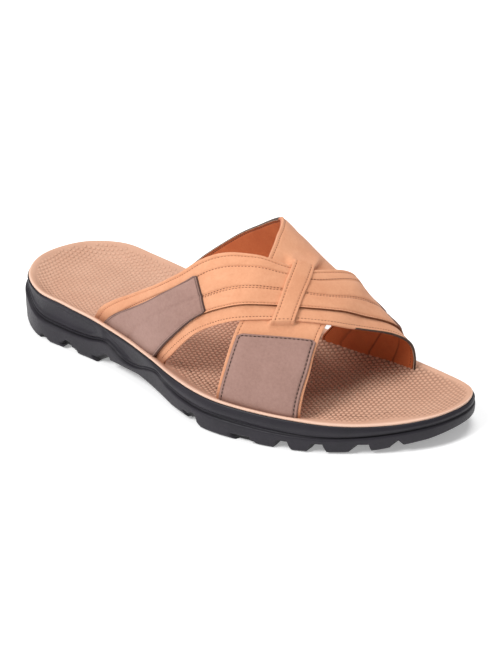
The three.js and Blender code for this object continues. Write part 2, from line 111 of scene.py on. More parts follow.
# station, underside of the lugs above the floor
GROUND = [
    (0, 3.4), (0.03, 1.4), (0.06, 0), (0.262, 0), (0.287, 4.8), (0.39, 7.7), (0.46, 5.4), (0.5, 3.2),
    (0.54, 2.6), (0.567, 1.2), (0.585, 0), (0.76, 0), (0.85, 1), (0.9, 2.2), (0.94, 4.6), (0.97, 6.4), (1, 9.4),
]
# station, width at its top, depth, how far its rear and front flanks run out
GROOVES = [
    (0.118, 1.5, 2, 2, 1.5), (0.186, 4, 3, 3, 1.5), (0.565, 3, 2.6, 3, 3), (0.696, 1.5, 2, 2.5, 2),
    (0.75, 6.3, 5.6, 1.8, 1.7), (0.811, 5.9, 5.5, 2.2, 1.6), (0.881, 5.6, 4.6, 2.9, 0.9),
    (0.929, 1.4, 4, 1.9, 2.6),
]
# inset from the edge, share of the dish
DISH = [(0, 0), (2.5, 0.02), (6, 0.38), (11, 0.78), (18, 1)]
# station, arch height as a share of the instep height
ARCH = [
    (0.2, 1.116), (0.3, 1.106), (0.4, 1.135), (0.5, 1.12), (0.55, 1.061), (0.6, 0.955), (0.65, 0.812),
    (0.7, 0.686), (0.75, 0.563), (0.8, 0.403), (0.85, 0.282), (0.9, 0.253), (1, 0.243),
]
# share of the way over, rear edge, front edge, rear edge standing off the arch
OVER_STRAP = [
    (0, 0.244, 0.454, 0), (0.04, 0.262, 0.477, 0), (0.08, 0.295, 0.499, 0), (0.14, 0.357, 0.533, 0),
    (0.2, 0.415, 0.573, 0), (0.27, 0.467, 0.619, 0), (0.34, 0.502, 0.665, 0), (0.41, 0.54, 0.711, 0),
    (0.48, 0.585, 0.75, 0), (0.54, 0.629, 0.772, 0), (0.6, 0.664, 0.786, 0.15), (0.66, 0.68, 0.8, 0.7),
    (0.72, 0.693, 0.814, 1.7), (0.78, 0.703, 0.828, 2.2), (0.84, 0.706, 0.836, 1.5),
    (0.9, 0.688, 0.839, 0.5), (0.95, 0.66, 0.84, 0.2), (1, 0.63, 0.839, 0),
]
UNDER_STRAP = [
    (0, 0.605, 0.769), (0.12, 0.616, 0.768), (0.24, 0.621, 0.765), (0.34, 0.626, 0.757),
    (0.43, 0.624, 0.75), (0.5, 0.616, 0.747), (0.56, 0.608, 0.745), (0.6, 0.602, 0.741),
    (0.64, 0.594, 0.736), (0.69, 0.584, 0.73), (0.74, 0.567, 0.72), (0.79, 0.54, 0.698),
    (0.84, 0.487, 0.656), (0.89, 0.408, 0.606), (0.94, 0.334, 0.552), (0.97, 0.298, 0.517),
    (1, 0.264, 0.483),
]


# %% Curves through the tables
def straight(table, value):
    """A function with straight runs between a table's rows."""
    keys = [row[0] for row in table]
    values = [row[value] for row in table]
    return lambda t: np.interp(t, keys, values)


def smooth(table, value):
    """A smooth function through a table's rows, flat beyond its ends."""
    keys = np.array([row[0] for row in table], float)
    values = np.array([row[value] for row in table], float)
    last = len(keys) - 1

    def evaluate(t):
        t = np.clip(np.asarray(t, float), keys[0], keys[-1])
        i = np.clip(np.searchsorted(keys, t, side="right"), 1, last)
        t0, t1, v0, v1 = keys[i - 1], keys[i], values[i - 1], values[i]
        before = np.maximum(i - 2, 0)
        after = np.minimum(i + 1, last)
        tp = np.where(i >= 2, keys[before], t1)
        vp = np.where(i >= 2, values[before], v1)
        tn = np.where(i < last, keys[after], t0)
        vn = np.where(i < last, values[after], v0)
        wp = (t1 - t0) / 2 / (t0 - tp)
        wn = (t1 - t0) / 2 / (tn - t1)
        p = (t - t0) / (t1 - t0)
        p2, p3 = p * p, p * p * p
        return (
            vp * (-wp * p3 + 2 * wp * p2 - wp * p)
            + v0 * ((1 + wp) * p3 + (-1.5 - 2 * wp) * p2 + (-0.5 + wp) * p + 1)
            + v1 * ((-1 - wn) * p3 + (1.5 + wn) * p2 + 0.5 * p)
            + vn * (wn * p3 - wn * p2)
        )

    return evaluate


def ease(t, low, high):
    """0 below low, 1 above high, and a soft step between them."""
    x = np.clip((t - low) / (high - low), 0, 1)
    return x * x * (3 - 2 * x)


def bump_at(t, centre, half_width):
    """A soft bump of height 1 around centre."""
    return np.exp(-(((t - centre) / half_width) ** 2))


lateral_share, medial_share = smooth(PLAN, 1), smooth(PLAN, 2)
edge_share, line_depth, panel_out = smooth(WALL, 1), smooth(WALL, 2), smooth(WALL, 3)
ledge_out, dish_depth = smooth(WALL, 4), smooth(WALL, 5)
ground_z, dish_share, arch_share = straight(GROUND, 1), smooth(DISH, 1), smooth(ARCH, 1)
over_rear, over_front, over_stand = smooth(OVER_STRAP, 1), smooth(OVER_STRAP, 2), smooth(OVER_STRAP, 3)
under_rear, under_front = smooth(UNDER_STRAP, 1), smooth(UNDER_STRAP, 2)


def x_of(s):
    return (s - 0.5) * LENGTH


def station_of(x):
    return np.clip(x / LENGTH + 0.5, 0, 1)


def edge_z(s):
    return edge_share(s) * HEEL_HEIGHT


print("edge height at the heel, waist and toe:", [round(float(edge_z(s)), 1) for s in (0, 0.45, 1)])

# %% [markdown]
# Every piece is a mesh made from arrays of points and faces. One helper makes the object, gives it
# smooth shading and its materials; another turns its faces out and hangs it on the body it moves with.


# %% Making a piece
def grid_faces(rows, columns, start=0, wrap=False):
    """Quads over a grid of points stored row after row; wrap closes each row on itself."""
    i, j = np.meshgrid(np.arange(rows - 1), np.arange(columns if wrap else columns - 1), indexing="ij")
    nxt = (j + 1) % columns
    a = start + i * columns + j
    b = start + i * columns + nxt
    return np.stack([a, b, b + columns, a + columns], -1).reshape(-1, 4)


def make_mesh(name, points, faces, materials=(), material_index=None, marks=None):
    """A mesh object from points in millimetres; marks are named values, one for each point."""
    data = bpy.data.meshes.new(name)
    data.from_pydata((np.asarray(points) * MM).tolist(), [], [list(map(int, f)) for f in faces])
    for material in materials:
        data.materials.append(material)
    if material_index is not None:
        data.polygons.foreach_set("material_index", np.asarray(material_index, np.int32))
    for key, values in (marks or {}).items():
        attribute = data.attributes.new(key, "FLOAT", "POINT")
        attribute.data.foreach_set("value", np.asarray(values, np.float32).ravel())
    data.validate()
    data.polygons.foreach_set("use_smooth", [True] * len(data.polygons))
    data.update()
    piece = bpy.data.objects.new(name, data)
    bpy.context.scene.collection.objects.link(piece)
    return piece


def signed_volume(piece):
    """The volume that a closed mesh holds, negative where its faces point inwards."""
    data = piece.data
    data.calc_loop_triangles()
    co = np.zeros(len(data.vertices) * 3)
    data.vertices.foreach_get("co", co)
    tri = np.zeros(len(data.loop_triangles) * 3, np.int32)
    data.loop_triangles.foreach_get("vertices", tri)
    a, b, c = (co.reshape(-1, 3)[tri.reshape(-1, 3)[:, k]] for k in range(3))
    return float((a * np.cross(b, c)).sum() / 6)


def finish_piece(piece, slot, *nodes):
    """Turns the faces out, hangs the piece on the root body and hides the imported solids that it stands for."""
    if signed_volume(piece) < 0:
        piece.data.flip_normals()
    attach(piece, "root")
    if nodes:
        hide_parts(*nodes)
    triangles = len(piece.data.loop_triangles)
    print(f"{piece.name}: {triangles} triangles, {signed_volume(piece) * 1e6:.1f} cm3")
    return piece


# %% [markdown]
# A finish is a tree of shader nodes. Nubuck, lining leather, foam and rubber all have a soft unevenness
# of colour and a fine grain that catches the light, so both are node groups with named inputs: each
# material uses them with its own sizes and strengths, and they stay the same effect everywhere.


# %% Node helpers
def add_node(tree, kind, inputs=None, **settings):
    """A node with its settings; inputs are sockets to link or values to set, by name or number."""
    made = tree.nodes.new(kind)
    for key, value in settings.items():
        setattr(made, key, value)
    for key, value in (inputs or {}).items():
        if isinstance(value, bpy.types.NodeSocket):
            tree.links.new(value, made.inputs[key])
        else:
            made.inputs[key].default_value = value
    return made


def new_group(name, inputs, outputs):
    """An empty shader group with typed inputs and outputs; returns the tree and its two end nodes."""
    tree = bpy.data.node_groups.new(name, "ShaderNodeTree")
    for label, kind, value in inputs:
        socket = tree.interface.new_socket(label, in_out="INPUT", socket_type=kind)
        socket.default_value = value
    for label, kind in outputs:
        tree.interface.new_socket(label, in_out="OUTPUT", socket_type=kind)
    return tree, tree.nodes.new("NodeGroupInput"), tree.nodes.new("NodeGroupOutput")


def add_group(tree, group, inputs):
    made = tree.nodes.new("ShaderNodeGroup")
    made.node_tree = group
    for key, value in inputs.items():
        if isinstance(value, bpy.types.NodeSocket):
            tree.links.new(value, made.inputs[key])
        else:
            made.inputs[key].default_value = value
    return made


def scale_value(tree, value, factor, offset=0.0):
    """value * factor + offset, as one socket."""
    made = add_node(tree, "ShaderNodeMath", {0: value, 1: factor, 2: offset}, operation="MULTIPLY_ADD")
    return made.outputs[0]


def mix_colour(tree, share, a, b, blend="MIX"):
    made = add_node(tree, "ShaderNodeMix", data_type="RGBA", blend_type=blend)
    for socket, value in ((made.inputs[0], share), (made.inputs[6], a), (made.inputs[7], b)):
        if isinstance(value, bpy.types.NodeSocket):
            tree.links.new(value, socket)
        else:
            socket.default_value = value
    return made.outputs[2]


def srgb(red, green, blue):
    """A colour given in the usual 0 to 255 values, as linear light."""
    def linear(value):
        share = value / 255
        return share / 12.92 if share <= 0.04045 else ((share + 0.055) / 1.055) ** 2.4

    return (linear(red), linear(green), linear(blue), 1.0)


# %% Group: soft mottling of a colour
mottle_tree, mottle_in, mottle_out = new_group(
    "soft_mottle",
    [
        ("Vector", "NodeSocketVector", (0, 0, 0)),
        ("Light", "NodeSocketColor", (1, 1, 1, 1)),
        ("Dark", "NodeSocketColor", (0, 0, 0, 1)),
        ("Cloud Size", "NodeSocketFloat", 80.0),
        ("Fleck Size", "NodeSocketFloat", 900.0),
        ("Fleck Share", "NodeSocketFloat", 0.35),
    ],
    [("Color", "NodeSocketColor"), ("Mask", "NodeSocketFloat")],
)
clouds = add_node(
    mottle_tree,
    "ShaderNodeTexNoise",
    {"Vector": mottle_in.outputs["Vector"], "Scale": mottle_in.outputs["Cloud Size"], "Detail": 4.0, "Roughness": 0.6},
)
flecks = add_node(
    mottle_tree,
    "ShaderNodeTexNoise",
    {"Vector": mottle_in.outputs["Vector"], "Scale": mottle_in.outputs["Fleck Size"], "Detail": 3.0, "Roughness": 0.7},
)
mottle_mask = add_node(
    mottle_tree,
    "ShaderNodeMix",
    {0: mottle_in.outputs["Fleck Share"], 2: clouds.outputs["Fac"], 3: flecks.outputs["Fac"]},
    data_type="FLOAT",
)
mottle_spread = add_node(
    mottle_tree,
    "ShaderNodeMapRange",
    {"Value": mottle_mask.outputs[0], "From Min": 0.36, "From Max": 0.64, "To Min": 0.0, "To Max": 1.0},
)
mottle_colour = mix_colour(
    mottle_tree, mottle_spread.outputs[0], mottle_in.outputs["Dark"], mottle_in.outputs["Light"]
)
mottle_tree.links.new(mottle_colour, mottle_out.inputs["Color"])
mottle_tree.links.new(mottle_spread.outputs[0], mottle_out.inputs["Mask"])

# %% Group: fine grain, as roughness and as a normal
grain_tree, grain_in, grain_out = new_group(
    "fine_grain",
    [
        ("Vector", "NodeSocketVector", (0, 0, 0)),
        ("Grain Size", "NodeSocketFloat", 1500.0),
        ("Depth", "NodeSocketFloat", 0.0001),
        ("Low Roughness", "NodeSocketFloat", 0.7),
        ("High Roughness", "NodeSocketFloat", 0.95),
    ],
    [("Roughness", "NodeSocketFloat"), ("Normal", "NodeSocketVector")],
)
grain_noise = add_node(
    grain_tree,
    "ShaderNodeTexNoise",
    {"Vector": grain_in.outputs["Vector"], "Scale": grain_in.outputs["Grain Size"], "Detail": 4.0, "Roughness": 0.65},
)
grain_roughness = add_node(
    grain_tree,
    "ShaderNodeMapRange",
    {
        "Value": grain_noise.outputs["Fac"],
        "From Min": 0.3,
        "From Max": 0.7,
        "To Min": grain_in.outputs["Low Roughness"],
        "To Max": grain_in.outputs["High Roughness"],
    },
)
grain_bump = add_node(
    grain_tree,
    "ShaderNodeBump",
    {"Strength": 1.0, "Distance": grain_in.outputs["Depth"], "Height": grain_noise.outputs["Fac"]},
)
grain_tree.links.new(grain_roughness.outputs[0], grain_out.inputs["Roughness"])
grain_tree.links.new(grain_bump.outputs["Normal"], grain_out.inputs["Normal"])
print("groups:", mottle_tree.name, grain_tree.name)

# %% [markdown]
# Materials. Each starts from the same two groups. Some pieces carry marks, values stored at their points,
# such as how near a point is to a seam: the leather there is pulled in, and its colour is darkened as
# painted shade in the trough. The marks at the strap ends, between the footbed's nubs and in the sole's
# grooves and pockets are painted shade too; the footbed's pale rim is its own colour.


# %% Material helper
def new_material(name, light, dark, cloud, fleck, fleck_share, grain, depth, low, high, marks=(), **fixed):
    """A Principled material on the two groups; marks are (name, colour, strength) laid over the base."""
    material = bpy.data.materials.new(name)
    material.use_nodes = True
    tree = material.node_tree
    shader = tree.nodes["Principled BSDF"]
    place = add_node(tree, "ShaderNodeTexCoord").outputs["Object"]
    mottle = add_group(
        tree,
        mottle_tree,
        {
            "Vector": place, "Light": light, "Dark": dark,
            "Cloud Size": cloud, "Fleck Size": fleck, "Fleck Share": fleck_share,
        },
    )
    fine = add_group(
        tree,
        grain_tree,
        {"Vector": place, "Grain Size": grain, "Depth": depth, "Low Roughness": low, "High Roughness": high},
    )
    colour = mottle.outputs["Color"]
    for mark, tint, strength in marks:
        near = add_node(tree, "ShaderNodeAttribute", attribute_name=mark).outputs["Fac"]
        colour = mix_colour(tree, scale_value(tree, near, strength), colour, tint)
    tree.links.new(colour, shader.inputs["Base Color"])
    tree.links.new(fine.outputs["Roughness"], shader.inputs["Roughness"])
    tree.links.new(fine.outputs["Normal"], shader.inputs["Normal"])
    for key, value in fixed.items():
        shader.inputs[key.replace("_", " ")].default_value = value
    return material


# %% The sandal's finishes
# Both nubucks and the lining are darkened along their stitch rows as painted shade in the troughs; the patches are
# also darkened at their raised edge and along their channel.
tan_nubuck = new_material(
    "tan_nubuck", srgb(218, 158, 122), srgb(206, 143, 107), 60, 700, 0.4, 1300, 0.00012, 0.82, 0.98,
    marks=[("seam_and_edge_shade", srgb(168, 98, 62), 0.3), ("foot", srgb(120, 70, 44), 0.5)], Specular_IOR_Level=0.2,
    Sheen_Weight=0.15, Sheen_Roughness=0.5,
)
# Near the strap ends, where they go into the footbed, both nubucks are darkened as painted shade.
brown_nubuck = new_material(
    "brown_nubuck", srgb(160, 127, 117), srgb(144, 112, 102), 45, 600, 0.45, 1300, 0.0001, 0.8, 0.96,
    marks=[("seam_and_edge_shade", srgb(60, 40, 34), 0.9), ("foot", srgb(96, 64, 50), 0.6)], Specular_IOR_Level=0.2,
    Sheen_Weight=0.15, Sheen_Roughness=0.5,
)
cut_edge = new_material(
    "cut_edge", srgb(98, 80, 70), srgb(68, 53, 46), 300, 1500, 0.5, 1800, 0.0001, 0.8, 0.95,
    Specular_IOR_Level=0.3,
)
brown_cut = new_material(
    "brown_cut", srgb(128, 78, 50), srgb(92, 54, 34), 300, 1500, 0.5, 1800, 0.0001, 0.8, 0.95,
    Specular_IOR_Level=0.2,
)
pale_ply = new_material(
    "pale_ply", srgb(225, 200, 180), srgb(196, 165, 142), 300, 1500, 0.5, 1800, 0.0001, 0.8, 0.95,
    Specular_IOR_Level=0.3,
)
lining_leather = new_material(
    "lining_leather", srgb(200, 108, 62), srgb(182, 90, 48), 50, 900, 0.3, 1600, 0.00006, 0.5, 0.66,
    marks=[("seam_and_edge_shade", srgb(96, 44, 20), 0.7)], Specular_IOR_Level=0.4,
)
# The rubber is painted near-black in the wall's line groove, in the pockets and in the underside's grooves: painted
# shade.
sole_rubber = new_material(
    "sole_rubber", srgb(37, 33, 41), srgb(30, 28, 34), 70, 1100, 0.3, 900, 0.00008, 0.4, 0.58,
    marks=[("hollow", srgb(14, 13, 16), 0.9)], Specular_IOR_Level=0.3,
)
# The rim mark is the pale colour of the footbed's edge; the field mark darkens the ground between the nubs as painted
# shade.
footbed_foam = new_material(
    "footbed_foam", srgb(206, 164, 140), srgb(196, 152, 128), 40, 800, 0.35, 1500, 0.00008, 0.66, 0.84,
    marks=[("rim", srgb(232, 196, 176), 0.7), ("field", srgb(104, 70, 54), 0.6)], Specular_IOR_Level=0.25,
)
tan_thread = new_material(
    "tan_thread", srgb(132, 80, 52), srgb(98, 56, 36), 500, 2500, 0.5, 4000, 0.00005, 0.6, 0.8,
    Specular_IOR_Level=0.3,
)
dark_thread = new_material(
    "dark_thread", srgb(62, 40, 34), srgb(36, 24, 22), 500, 2500, 0.5, 4000, 0.00005, 0.55, 0.75,
    Specular_IOR_Level=0.3,
)
print("materials:", [m.name for m in bpy.data.materials])

# %% [markdown]
# The sole. Its outline is one closed curve through the table's edge points and the two tips. Both
# halves are sampled at the same places along the length, so that the underside and the footbed are
# simple rows from the outer edge to the inner edge. Rows fall exactly on the flanks of the grooves.


# %% Outline of the sole
def closed_curve(points, count):
    """Points along a smooth closed curve through the given ones, spaced for even speed at each."""
    points = np.asarray(points, float)
    n = len(points)
    u = np.arange(count) / count * n
    i = np.floor(u).astype(int)
    w = (u - i)[:, None]
    p0, p1, p2, p3 = (points[(i + k) % n] for k in (-1, 0, 1, 2))
    d0, d1, d2 = (np.sqrt(np.linalg.norm(b - a, axis=1))[:, None] for a, b in ((p0, p1), (p1, p2), (p2, p3)))
    t1 = ((p1 - p0) / d0 - (p2 - p0) / (d0 + d1) + (p2 - p1) / d1) * d1
    t2 = ((p2 - p1) / d1 - (p3 - p1) / (d1 + d2) + (p3 - p2) / d2) * d1
    return p1 + t1 * w + (-3 * p1 + 3 * p2 - 2 * t1 - t2) * w**2 + (2 * p1 - 2 * p2 + t1 + t2) * w**3


outline_knots = (
    [(x_of(HEEL_TIP[0]), HEEL_TIP[1] * BALL_WIDTH)]
    + [(x_of(s), lateral * BALL_WIDTH) for s, lateral, _ in PLAN]
    + [(x_of(TOE_TIP[0]), TOE_TIP[1] * BALL_WIDTH)]
    + [(x_of(s), medial * BALL_WIDTH) for s, _, medial in reversed(PLAN)]
)
FINE = 400
fine_outline = closed_curve(outline_knots, len(outline_knots) * FINE)
HALF = (len(PLAN) + 1) * FINE
outer_half = fine_outline[: HALF + 1]
inner_half = np.vstack([fine_outline[HALF:], fine_outline[:1]])[::-1]

ROW_STEP = 1.0
TIP_ROWS = 26
TIP_REACH = 12.0
tip = TIP_REACH * (np.arange(TIP_ROWS) / TIP_ROWS) ** 2
flanks = np.concatenate(
    [
        x_of(s) + np.array([-width / 2 - rear, -width / 2, width / 2, width / 2 + front])
        for s, width, _, rear, front in GROOVES
    ]
)
middle = np.arange(-LENGTH / 2 + TIP_REACH, LENGTH / 2 - TIP_REACH, ROW_STEP)
middle = middle[np.abs(middle[:, None] - flanks[None, :]).min(1) > 0.35]
row_x = np.unique(np.concatenate([-LENGTH / 2 + tip, middle, flanks, (LENGTH / 2 - tip)[::-1]]))


def along_half(half, x):
    """The y of one half of the outline at x."""
    order = np.maximum.accumulate(half[:, 0])
    return np.interp(x, order + np.arange(len(order)) * 1e-9, half[:, 1])


outer_y, inner_y = along_half(outer_half, row_x), along_half(inner_half, row_x)
rim_points = np.vstack(
    [np.column_stack([row_x, outer_y]), np.column_stack([row_x[1:-1], inner_y[1:-1]])[::-1]]
)
ROWS = len(row_x)
AROUND = len(rim_points)
SPINE = (0.16, 0.86)
print("rows along the sole:", ROWS, "points around:", AROUND)


def ring(inset, height):
    """The outline moved in by inset(station) and set at height(station)."""
    s = station_of(rim_points[:, 0])
    spine = np.clip(s, *SPINE)
    centre = np.column_stack([x_of(spine), (lateral_share(spine) + medial_share(spine)) / 2 * BALL_WIDTH])
    gap = np.linalg.norm(rim_points - centre, axis=1)
    share = np.broadcast_to(inset(s) if callable(inset) else inset, s.shape) / gap
    moved = rim_points + (centre - rim_points) * share[:, None]
    return np.column_stack([moved, height(station_of(moved[:, 0]))])


def ladder(first_ring, start, across, height):
    """Rows of points between the two halves of a ring; ladder_faces makes the faces that close it.

    Returns the new points and the ids of the ring's points on its outer and inner halves; start is the
    index of the ring's first point, and the new points follow from first_ring's end.
    """
    outer = start + np.arange(ROWS)
    inner = np.concatenate([[start], start + AROUND - np.arange(1, ROWS - 1), [start + ROWS - 1]])
    shares = np.arange(1, across) / across
    a = first_ring[np.arange(1, ROWS - 1)]
    b = first_ring[AROUND - np.arange(1, ROWS - 1)]
    points = a[:, None, :] + (b - a)[:, None, :] * shares[None, :, None]
    points[..., 2] = height(station_of(points[..., 0]), shares[None, :])
    return points.reshape(-1, 3), outer, inner


def ladder_faces(outer, inner, across, new_start):
    """Faces over the ladder's rows, from the outer half to the inner half."""
    rows = []
    for i in range(ROWS):
        if i in (0, ROWS - 1):
            rows.append([outer[i]] * (across + 1))
        else:
            first = new_start + (i - 1) * (across - 1)
            rows.append([outer[i], *range(first, first + across - 1), inner[i]])
    faces = []
    for low, high in zip(rows, rows[1:]):
        for j in range(across):
            face = [low[j], low[j + 1], high[j + 1], high[j]]
            corners = list(dict.fromkeys(face))
            if len(corners) > 2:
                faces.append(corners)
    return faces


# %% [markdown]
# The side wall has a rounded top edge and a panel that hollows in at the heel and swells at the ball.
# Below the panel runs a fine double line: a small lip, a groove whose rubber is painted darker as painted
# shade, and a ridge that catches light. A ledge stands out under it, from which the lugs go down. The inset
# is a function of the height below that line, so the line stays sharp along its whole way, and a groove simply ends
# the wall higher up.

# %% Side wall of the sole
BODY_LEVELS = 13
LUG_LEVELS = 12
LIP_TOP = 1.8
# height above the line, depth where it is one groove, depth where a bead runs along it, ledge standing out
LINE_PROFILE = [
    (1.8, 0.0, 0.2, 0.0), (1.5, -0.3, 1.0, 0.0), (1.25, 0.3, 0.6, 0.0), (1.0, 0.8, -0.3, 0.0),
    (0.8, 1.0, -0.6, 0.0), (0.6, 0.8, -0.3, 0.0), (0.35, 0.3, 0.8, 0.1), (0.1, 0.0, 1.0, 0.4),
    (-0.15, 0.0, 0.4, 0.8), (-0.5, 0.0, 0.0, 1.0), (-1.0, 0.0, 0.0, 1.05), (-1.6, 0.0, 0.0, 1.1),
]
line_groove = smooth([(0, 0.75), (0.26, 0.7), (0.4, 0.5), (0.5, 0.8), (0.9, 0.8), (1, 0.5)], 1)
line_bead = smooth([(0, 1), (0.3, 1), (0.45, 0.9), (0.62, 0.6), (0.78, 0.2), (0.85, 0), (1, 0)], 1)
# start and end along the sole, height: the pockets in the lugs' foot, their rubber painted darker as painted shade
POCKETS = [
    (0.092, 0.131, 2), (0.1635, 0.208, 3.2), (0.25, 0.298, 3.2), (0.533, 0.568, 3.4), (0.647, 0.688, 3.6),
]
POCKET_DEPTH = 2.2
POCKET_SLANT = 4.0


def groove_rise(x):
    """How far the grooves lift the underside at x: a flat top between two slanted flanks."""
    rise = np.zeros_like(x)
    for s, width, depth, rear, front in GROOVES:
        behind = (x - (x_of(s) - width / 2 - rear)) / rear
        ahead = ((x_of(s) + width / 2 + front) - x) / front
        level = ground_z(s) + np.minimum(np.minimum(behind, ahead), 1) * depth
        rise = np.maximum(rise, level - ground_z(station_of(x)))
    return rise


def heel_panel(s, height):
    """The shallow panel pressed into the heel, with a round front end; height runs 0 to 1 up the wall."""
    ahead = np.maximum(s - 0.235, 0) / 0.03
    up = np.abs(height - 0.5) / 0.36
    return 1 - ease(np.sqrt(ahead**2 + up**2), 0.85, 1.1)


def waist_hollow(s, above):
    """The pointed hollow above the line, from the end of the heel panel to the waist."""
    along = np.clip((s - 0.283) / 0.11, 0, 1)
    top = 7.5 * (1 - along) ** 0.8 + 0.6
    ends = ease(s, 0.278, 0.292) * (1 - ease(s, 0.38, 0.395))
    return ends * ease(above, 0.2, 0.9) * (1 - ease(above, top - 0.9, top))


def pocket(x, height):
    """1 inside the pockets, at a height above the underside; their rear end slants forward."""
    inside = np.zeros_like(x)
    for start, end, tall in POCKETS:
        down = 1 - height / tall
        along = np.minimum(x - x_of(start) - POCKET_SLANT * down, x_of(end) + down - x)
        inside = np.maximum(inside, ease(along, -0.2, 0.7) * ease(down, -0.08, 0.12))
    return inside


wall_s = station_of(rim_points[:, 0])
wall_edge, wall_line = edge_z(wall_s), edge_z(wall_s) - line_depth(wall_s)
wall_panel, wall_ledge, wall_groove = panel_out(wall_s), ledge_out(wall_s), line_groove(wall_s)
ground_here = ground_z(wall_s) + groove_rise(rim_points[:, 0])
floor_z = np.minimum(ground_here, wall_line - LINE_PROFILE[-1][0] - 3.6)
# Each level holds a height, an inset and how much painted shade its rubber gets.
wall_levels = []
for t in np.linspace(0, 1, BODY_LEVELS, endpoint=False):
    top, low = wall_edge - 0.8, wall_line + LIP_TOP
    bulge = -wall_panel * np.sin(0.86 * np.pi * t) + 0.6 * heel_panel(wall_s, 1 - t)
    bulge = bulge + 0.9 * waist_hollow(wall_s, top + (low - top) * t - wall_line)
    wall_levels.append((top + (low - top) * t, bulge, 0 * top))
bead = line_bead(wall_s)
for above, single, double, out in LINE_PROFILE:
    into = (single * (1 - bead) + double * bead) * wall_groove
    bulge = -0.42 * wall_panel * ease(above, -0.4, 1.4) + into - out * wall_ledge
    wall_levels.append((wall_line + above, bulge, ease(into, 0.3, 0.7)))
for t in np.arange(1, LUG_LEVELS + 1) / LUG_LEVELS:
    low = wall_line + LINE_PROFILE[-1][0]
    z = low + (floor_z - low) * t
    height = np.clip((z - ground_z(wall_s)) / (low - ground_z(wall_s)), 0, 1)
    bulge = -wall_ledge * np.interp(height, [0, 0.05, 0.15, 0.6, 1], [-0.1, 0.4, 0.8, 1.05, 1.1])
    hole = pocket(rim_points[:, 0], z - floor_z)
    wall_levels.append((z, bulge + POCKET_DEPTH * hole, hole))


# %% Outsole
def seat_z(inset):
    """Top of the outsole under the footbed."""
    share = dish_share(inset)
    return lambda s: edge_z(s) + FIT_GAP - dish_depth(s) * share - FOOTBED_CORE * share - FIT_GAP


SEAT_INSETS = (18.0, 14.0, 11.0, 8.5, 6.0, 4.0, 2.5)
sole_rings = [ring(inset, seat_z(inset)) for inset in SEAT_INSETS]
for inset, below in ((0.9, 0.0), (0.45, 0.1), (0.15, 0.4)):
    sole_rings.append(ring(inset, lambda s: edge_z(s) - below))
# Painted shade for every point of the sole: none on the seat and the top edge, then the wall's levels.
hollow = [np.zeros(len(sole_rings) * AROUND)]
for z, inset, dark in wall_levels:
    flat = ring(inset, lambda s: s * 0)
    flat[:, 2] = z
    sole_rings.append(flat)
    hollow.append(dark)
pocket_foot = pocket(rim_points[:, 0], 0 * floor_z)
bottom_ring = ring(0.9 + POCKET_DEPTH * pocket_foot, lambda s: s * 0)
bottom_ring[:, 2] = floor_z
sole_rings.append(bottom_ring)
hollow.append(pocket_foot)

SOLE_ACROSS = 40
TREAD_DEPTH = 0.8


def underside(s, share):
    """Height of the underside; the field of fine tread lies a little above its border."""
    width = (medial_share(s) - lateral_share(s)) * BALL_WIDTH
    from_edge = np.minimum(share, 1 - share) * width
    recess = TREAD_DEPTH * ease(from_edge, 4, 6) * (ground_z(s) < 0.5)
    flat = ground_z(s) + np.maximum(groove_rise(x_of(s)), recess)
    return np.minimum(flat, edge_z(s) - line_depth(s) - 1.9)


sole_points = np.vstack(sole_rings)
sole_faces = grid_faces(len(sole_rings), AROUND, wrap=True).tolist()
top_points, outer_ids, inner_ids = ladder(sole_rings[0], 0, 6, lambda s, share: seat_z(18.0)(s))
sole_faces += ladder_faces(outer_ids, inner_ids, 6, len(sole_points))
sole_points = np.vstack([sole_points, top_points])
last_start = (len(sole_rings) - 1) * AROUND
under_points, outer_ids, inner_ids = ladder(bottom_ring, last_start, SOLE_ACROSS, underside)
under_faces = ladder_faces(outer_ids, inner_ids, SOLE_ACROSS, len(sole_points))
sole_faces += [face[::-1] for face in under_faces]
# Painted shade in the grooves across the underside.
in_groove = 0.9 * (groove_rise(under_points[:, 0]) > 1.2)
hollow += [np.zeros(len(top_points)), in_groove]
sole_points = np.vstack([sole_points, under_points])
outsole = make_mesh(
    "outsole_body", sole_points, sole_faces, [sole_rubber], marks={"hollow": np.concatenate(hollow)}
)
finish_piece(outsole, "sole_rubber", "outsole")

# %% [markdown]
# Small things that repeat over a face, such as the footbed's nubs and the bars of the tread, come from
# one Geometry Nodes tree. Two staggered grids of points drop on the face, points that miss it go away,
# and a small rounded form is set on each of the others, square to the face. Another such tree lays
# threads along rows of points. What they grow is made a plain mesh, so nothing live is left on it.


# %% Geometry Nodes helpers
def new_tree(name, inputs):
    """An empty geometry tree with named inputs; returns the tree, its ends and the input identifiers."""
    tree = bpy.data.node_groups.new(name, "GeometryNodeTree")
    tree.interface.new_socket("Geometry", in_out="INPUT", socket_type="NodeSocketGeometry")
    tree.interface.new_socket("Geometry", in_out="OUTPUT", socket_type="NodeSocketGeometry")
    names = {}
    for label, kind in inputs:
        names[label] = tree.interface.new_socket(label, in_out="INPUT", socket_type=kind).identifier
    return tree, tree.nodes.new("NodeGroupInput"), tree.nodes.new("NodeGroupOutput"), names


